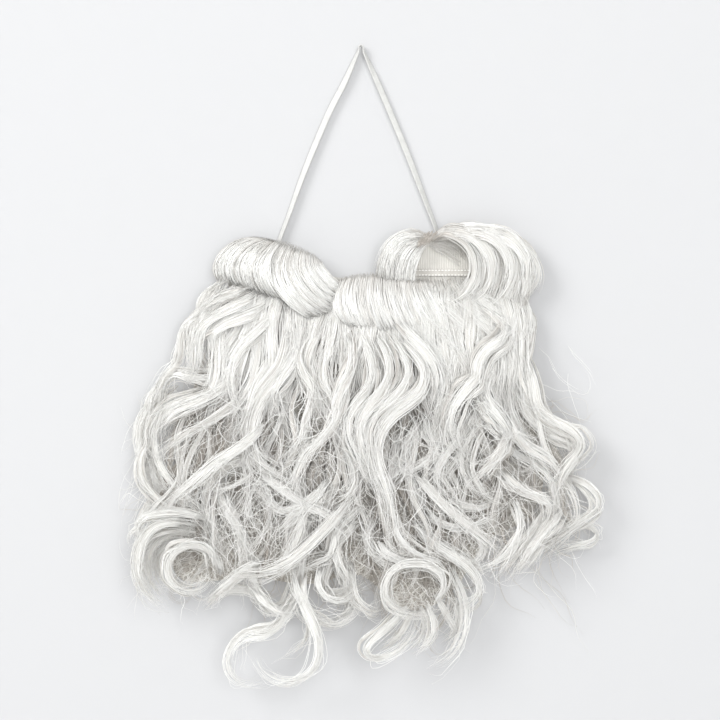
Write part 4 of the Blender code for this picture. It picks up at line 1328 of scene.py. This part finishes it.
work = bmesh.new()
weave = work.loops.layers.uv.new("weave")
bmesh.ops.create_grid(work, x_segments=STRAP_RIBS, y_segments=len(route) - 1, size=0.5)
station_of = {vert: round((vert.co.y + 0.5) * (len(route) - 1)) for vert in work.verts}
for face in work.faces:
    for corner in face.loops:
        station = station_of[corner.vert]
        corner[weave].uv = (corner.vert.co.x * STRAP_WIDTH, strap_length[station])
for vert, station in station_of.items():
    spread = vert.co.x * STRAP_WIDTH
    in_view = outward[station] * math.cos(turned[station]) * spread
    vert.co = (route_places[station, 0] + in_view[0], math.sin(turned[station]) * spread,
               route_places[station, 1] + in_view[1])
bmesh.ops.recalc_face_normals(work, faces=work.faces)
elastic_weave = woven_material("elastic_weave", (0.88, 0.88, 0.86), (0.6, 0.6, 0.58), 0.8 * MM, 0.5 * MM, 0.6)
elastic = new_piece("elastic_band", work, elastic_weave)
elastic.data.shade_smooth()
thickness = elastic.modifiers.new("thickness", "SOLIDIFY")
thickness.thickness = STRAP_THICKNESS
thickness.offset = 0.0
print("elastic:", round(strap_length[-1] / MM), "mm long")

# %% [markdown]
# The backing is the crescent of ribbed cloth that carries the hair. It hangs flat, so a cloth
# simulation would change nothing. Its outline is filled, and the face is extruded to the cloth's
# thickness.

# %% backing
BACKING_NEAR, BACKING_THICKNESS = 0.8, 1.1
BACKING_OUTLINE = (
    (-110, -180), (-96, -163), (-66, -159), (-42, -168), (-25, -184), (14, -184), (32, -164), (60, -154),
    (92, -153), (113, -163), (128, -182), (112, -212), (60, -226), (0, -229), (-58, -224), (-98, -206),
)


def slab(name, outline, near, thick, material):
    """A flat closed piece with an outline in mm, and its UV map in metres."""
    work = bmesh.new()
    verts = [work.verts.new((x * MM, -near * MM, z * MM)) for x, z in outline]
    face = work.faces.new(verts)
    raised = bmesh.ops.extrude_face_region(work, geom=[face])
    moved = [item for item in raised["geom"] if isinstance(item, bmesh.types.BMVert)]
    bmesh.ops.translate(work, verts=moved, vec=(0.0, -thick * MM, 0.0))
    bmesh.ops.recalc_face_normals(work, faces=work.faces)
    weave = work.loops.layers.uv.new("weave")
    for face in work.faces:
        for corner in face.loops:
            corner[weave].uv = (corner.vert.co.x, corner.vert.co.z)
    return new_piece(name, work, material)


backing_cloth = woven_material(
    "ribbed_backing", (0.79, 0.775, 0.735), (0.6, 0.585, 0.545), 1.9 * MM, 0.7 * MM, 0.5)
crescent = smooth_line((*BACKING_OUTLINE, BACKING_OUTLINE[0]), 6.0)[:-1]
backing = slab("backing_cloth", crescent, BACKING_NEAR, BACKING_THICKNESS, backing_cloth)

# %% [markdown]
# The weft tape is sewn over the backing, with two rows of small stitches that stand out from it.
# Bump could draw them, but they are seen from close by, so each is a small block with round edges.

# %% weft tape
TAPE = {"left": 24.0, "right": 87.0, "middle": -181.5, "height": 5.6, "near": 3.0, "thick": 1.3}
STITCH_PITCH = 2.6
STITCH_SIZE = (1.7, 1.0, 1.0)
STITCH_ROWS = (-1.9, 1.9)
STITCH_PROUD = 0.7
tape_cloth = woven_material("tape_cloth", (0.84, 0.82, 0.78), (0.5, 0.48, 0.44), 0.9 * MM, 0.6 * MM, 0.7)
stitch_thread = woven_material(
    "stitch_thread", (0.95, 0.94, 0.92), (0.85, 0.84, 0.81), 0.9 * MM, 0.6 * MM, 0.3)
work = bmesh.new()
weave = work.loops.layers.uv.new("weave")
tape_centre = (TAPE["left"] + TAPE["right"]) / 2
tape_middle = Matrix.Translation((tape_centre * MM, -TAPE["near"] * MM, TAPE["middle"] * MM))
tape_length = TAPE["right"] - TAPE["left"]
tape_size = Matrix.Diagonal((tape_length * MM, TAPE["thick"] * MM, TAPE["height"] * MM, 1.0))
bmesh.ops.create_cube(work, size=1.0, matrix=tape_middle @ tape_size)
bmesh.ops.bevel(work, geom=work.edges[:], offset=0.4 * MM, segments=2, profile=0.5, affect="EDGES",
                material=-1)
tape_faces = set(work.faces)
for row_height in STITCH_ROWS:
    for place in np.arange(TAPE["left"] + 2, TAPE["right"] - 1, STITCH_PITCH):
        at = (place, -(TAPE["near"] + STITCH_PROUD), TAPE["middle"] + row_height)
        at = Matrix.Translation([value * MM for value in at])
        size = Matrix.Diagonal((*[value * MM for value in STITCH_SIZE], 1.0))
        made = bmesh.ops.create_cube(work, size=1.0, matrix=at @ size)
        edges = list({edge for vert in made["verts"] for edge in vert.link_edges})
        bmesh.ops.bevel(work, geom=edges, offset=0.18 * MM, segments=2, profile=0.5, affect="EDGES",
                        material=-1)
for face in work.faces:
    face.material_index = 0 if face in tape_faces else 1
    for corner in face.loops:
        corner[weave].uv = (corner.vert.co.x, corner.vert.co.z)
tape = new_piece("stitched_tape", work, tape_cloth)
tape.data.materials.append(stitch_thread)

# %% [markdown]
# Behind the locks lies a thin mat of tangled, frizzy hair. Modelled strands would take many
# triangles for something that shows only from behind and through small gaps. So it is a flat slab,
# and its material draws fine, raised fibres that cross in four directions. Between them it is dark,
# which is painted shade, the shadow deep in the hair.

# %% mat of frizzy hair
MAT_OUTLINE = (
    (-100, -206), (-60, -204), (0, -206), (50, -208), (72, -214), (112, -216), (128, -250), (138, -300),
    (146, -342), (134, -376), (100, -396), (76, -432), (50, -450), (28, -446), (-2, -422), (-42, -430),
    (-88, -424), (-124, -428), (-146, -424), (-154, -392), (-144, -352), (-134, -300), (-120, -245),
)
MAT_NEAR, MAT_THICKNESS = 2.6, 3.4
FIBRE_THICK, FIBRE_LONG = 1 / 900, 1 / 80


def tangled_material(name, light, dark):
    material, shader = new_material(name, {"Roughness": 0.6, "Specular IOR Level": 0.3})
    place = add_node(material, "ShaderNodeTexCoord", {}, {})
    total = None
    for index, degrees in enumerate((12, 58, 97, 150)):
        turn = add_node(material, "ShaderNodeMapping", {"vector_type": "TEXTURE"}, {
            "Rotation": (0.0, math.radians(degrees), 0.0), "Location": (index * 0.37, 0.0, index * 0.21),
            "Scale": (FIBRE_THICK, FIBRE_LONG, FIBRE_LONG), "Vector": place.outputs["Object"]})
        lines = add_node(material, "ShaderNodeTexNoise", {}, {
            "Scale": 1.0, "Detail": 2.0, "Distortion": 0.8, "Vector": turn.outputs["Vector"]})
        if total is None:
            total = lines.outputs["Fac"]
            continue
        higher = add_node(material, "ShaderNodeMath", {"operation": "MAXIMUM"}, {
            0: total, 1: lines.outputs["Fac"]})
        total = higher.outputs["Value"]
    step = add_node(material, "ShaderNodeMapRange", {}, {"From Min": 0.52, "From Max": 0.7, "Value": total})
    share = step.outputs["Result"]
    # Painted shade: the colour goes dark where the fibres are low, between them.
    dress(material, shader, share, (dark, light), share, 0.7, 0.6 * MM)
    return material


tangle = tangled_material("tangled_hair", (0.86, 0.84, 0.79), (0.36, 0.33, 0.29))
mat_outline = smooth_line((*MAT_OUTLINE, MAT_OUTLINE[0]), 9.0)[:-1]
mat = slab("frizzy_mat", mat_outline, MAT_NEAR, MAT_THICKNESS, tangle)

# %% [markdown]
# Every piece rides on the one body of the part, and most take the place of a plain solid.

# %% hand over
for piece, nodes in (
    (mat, ("back_locks",)),
    (left_deep_hair, ()),
    (right_deep_hair, ()),
    (frizz, ()),
    (fine_hair, ()),
    (upper_hair, ()),
    (left_locks, ()),
    (middle_locks, ("front_locks",)),
    (right_locks, ()),
    (left_roll, ("left_roll",)),
    (slanting_roll, ("slanting_roll",)),
    (middle_roll, ("middle_roll",)),
    (corner_curls, ("right_curls",)),
):
    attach(piece, "root")
    if nodes:
        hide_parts(*nodes)
for piece, slot_name, node in (
    (elastic, "elastic", "elastic_strap"),
    (backing, "backing_cloth", "backing"),
    (tape, "weft_tape", "weft_tape"),
):
    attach(piece, "root")
    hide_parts(node)
print("triangles of hair:", sum(TRIANGLES.values()))
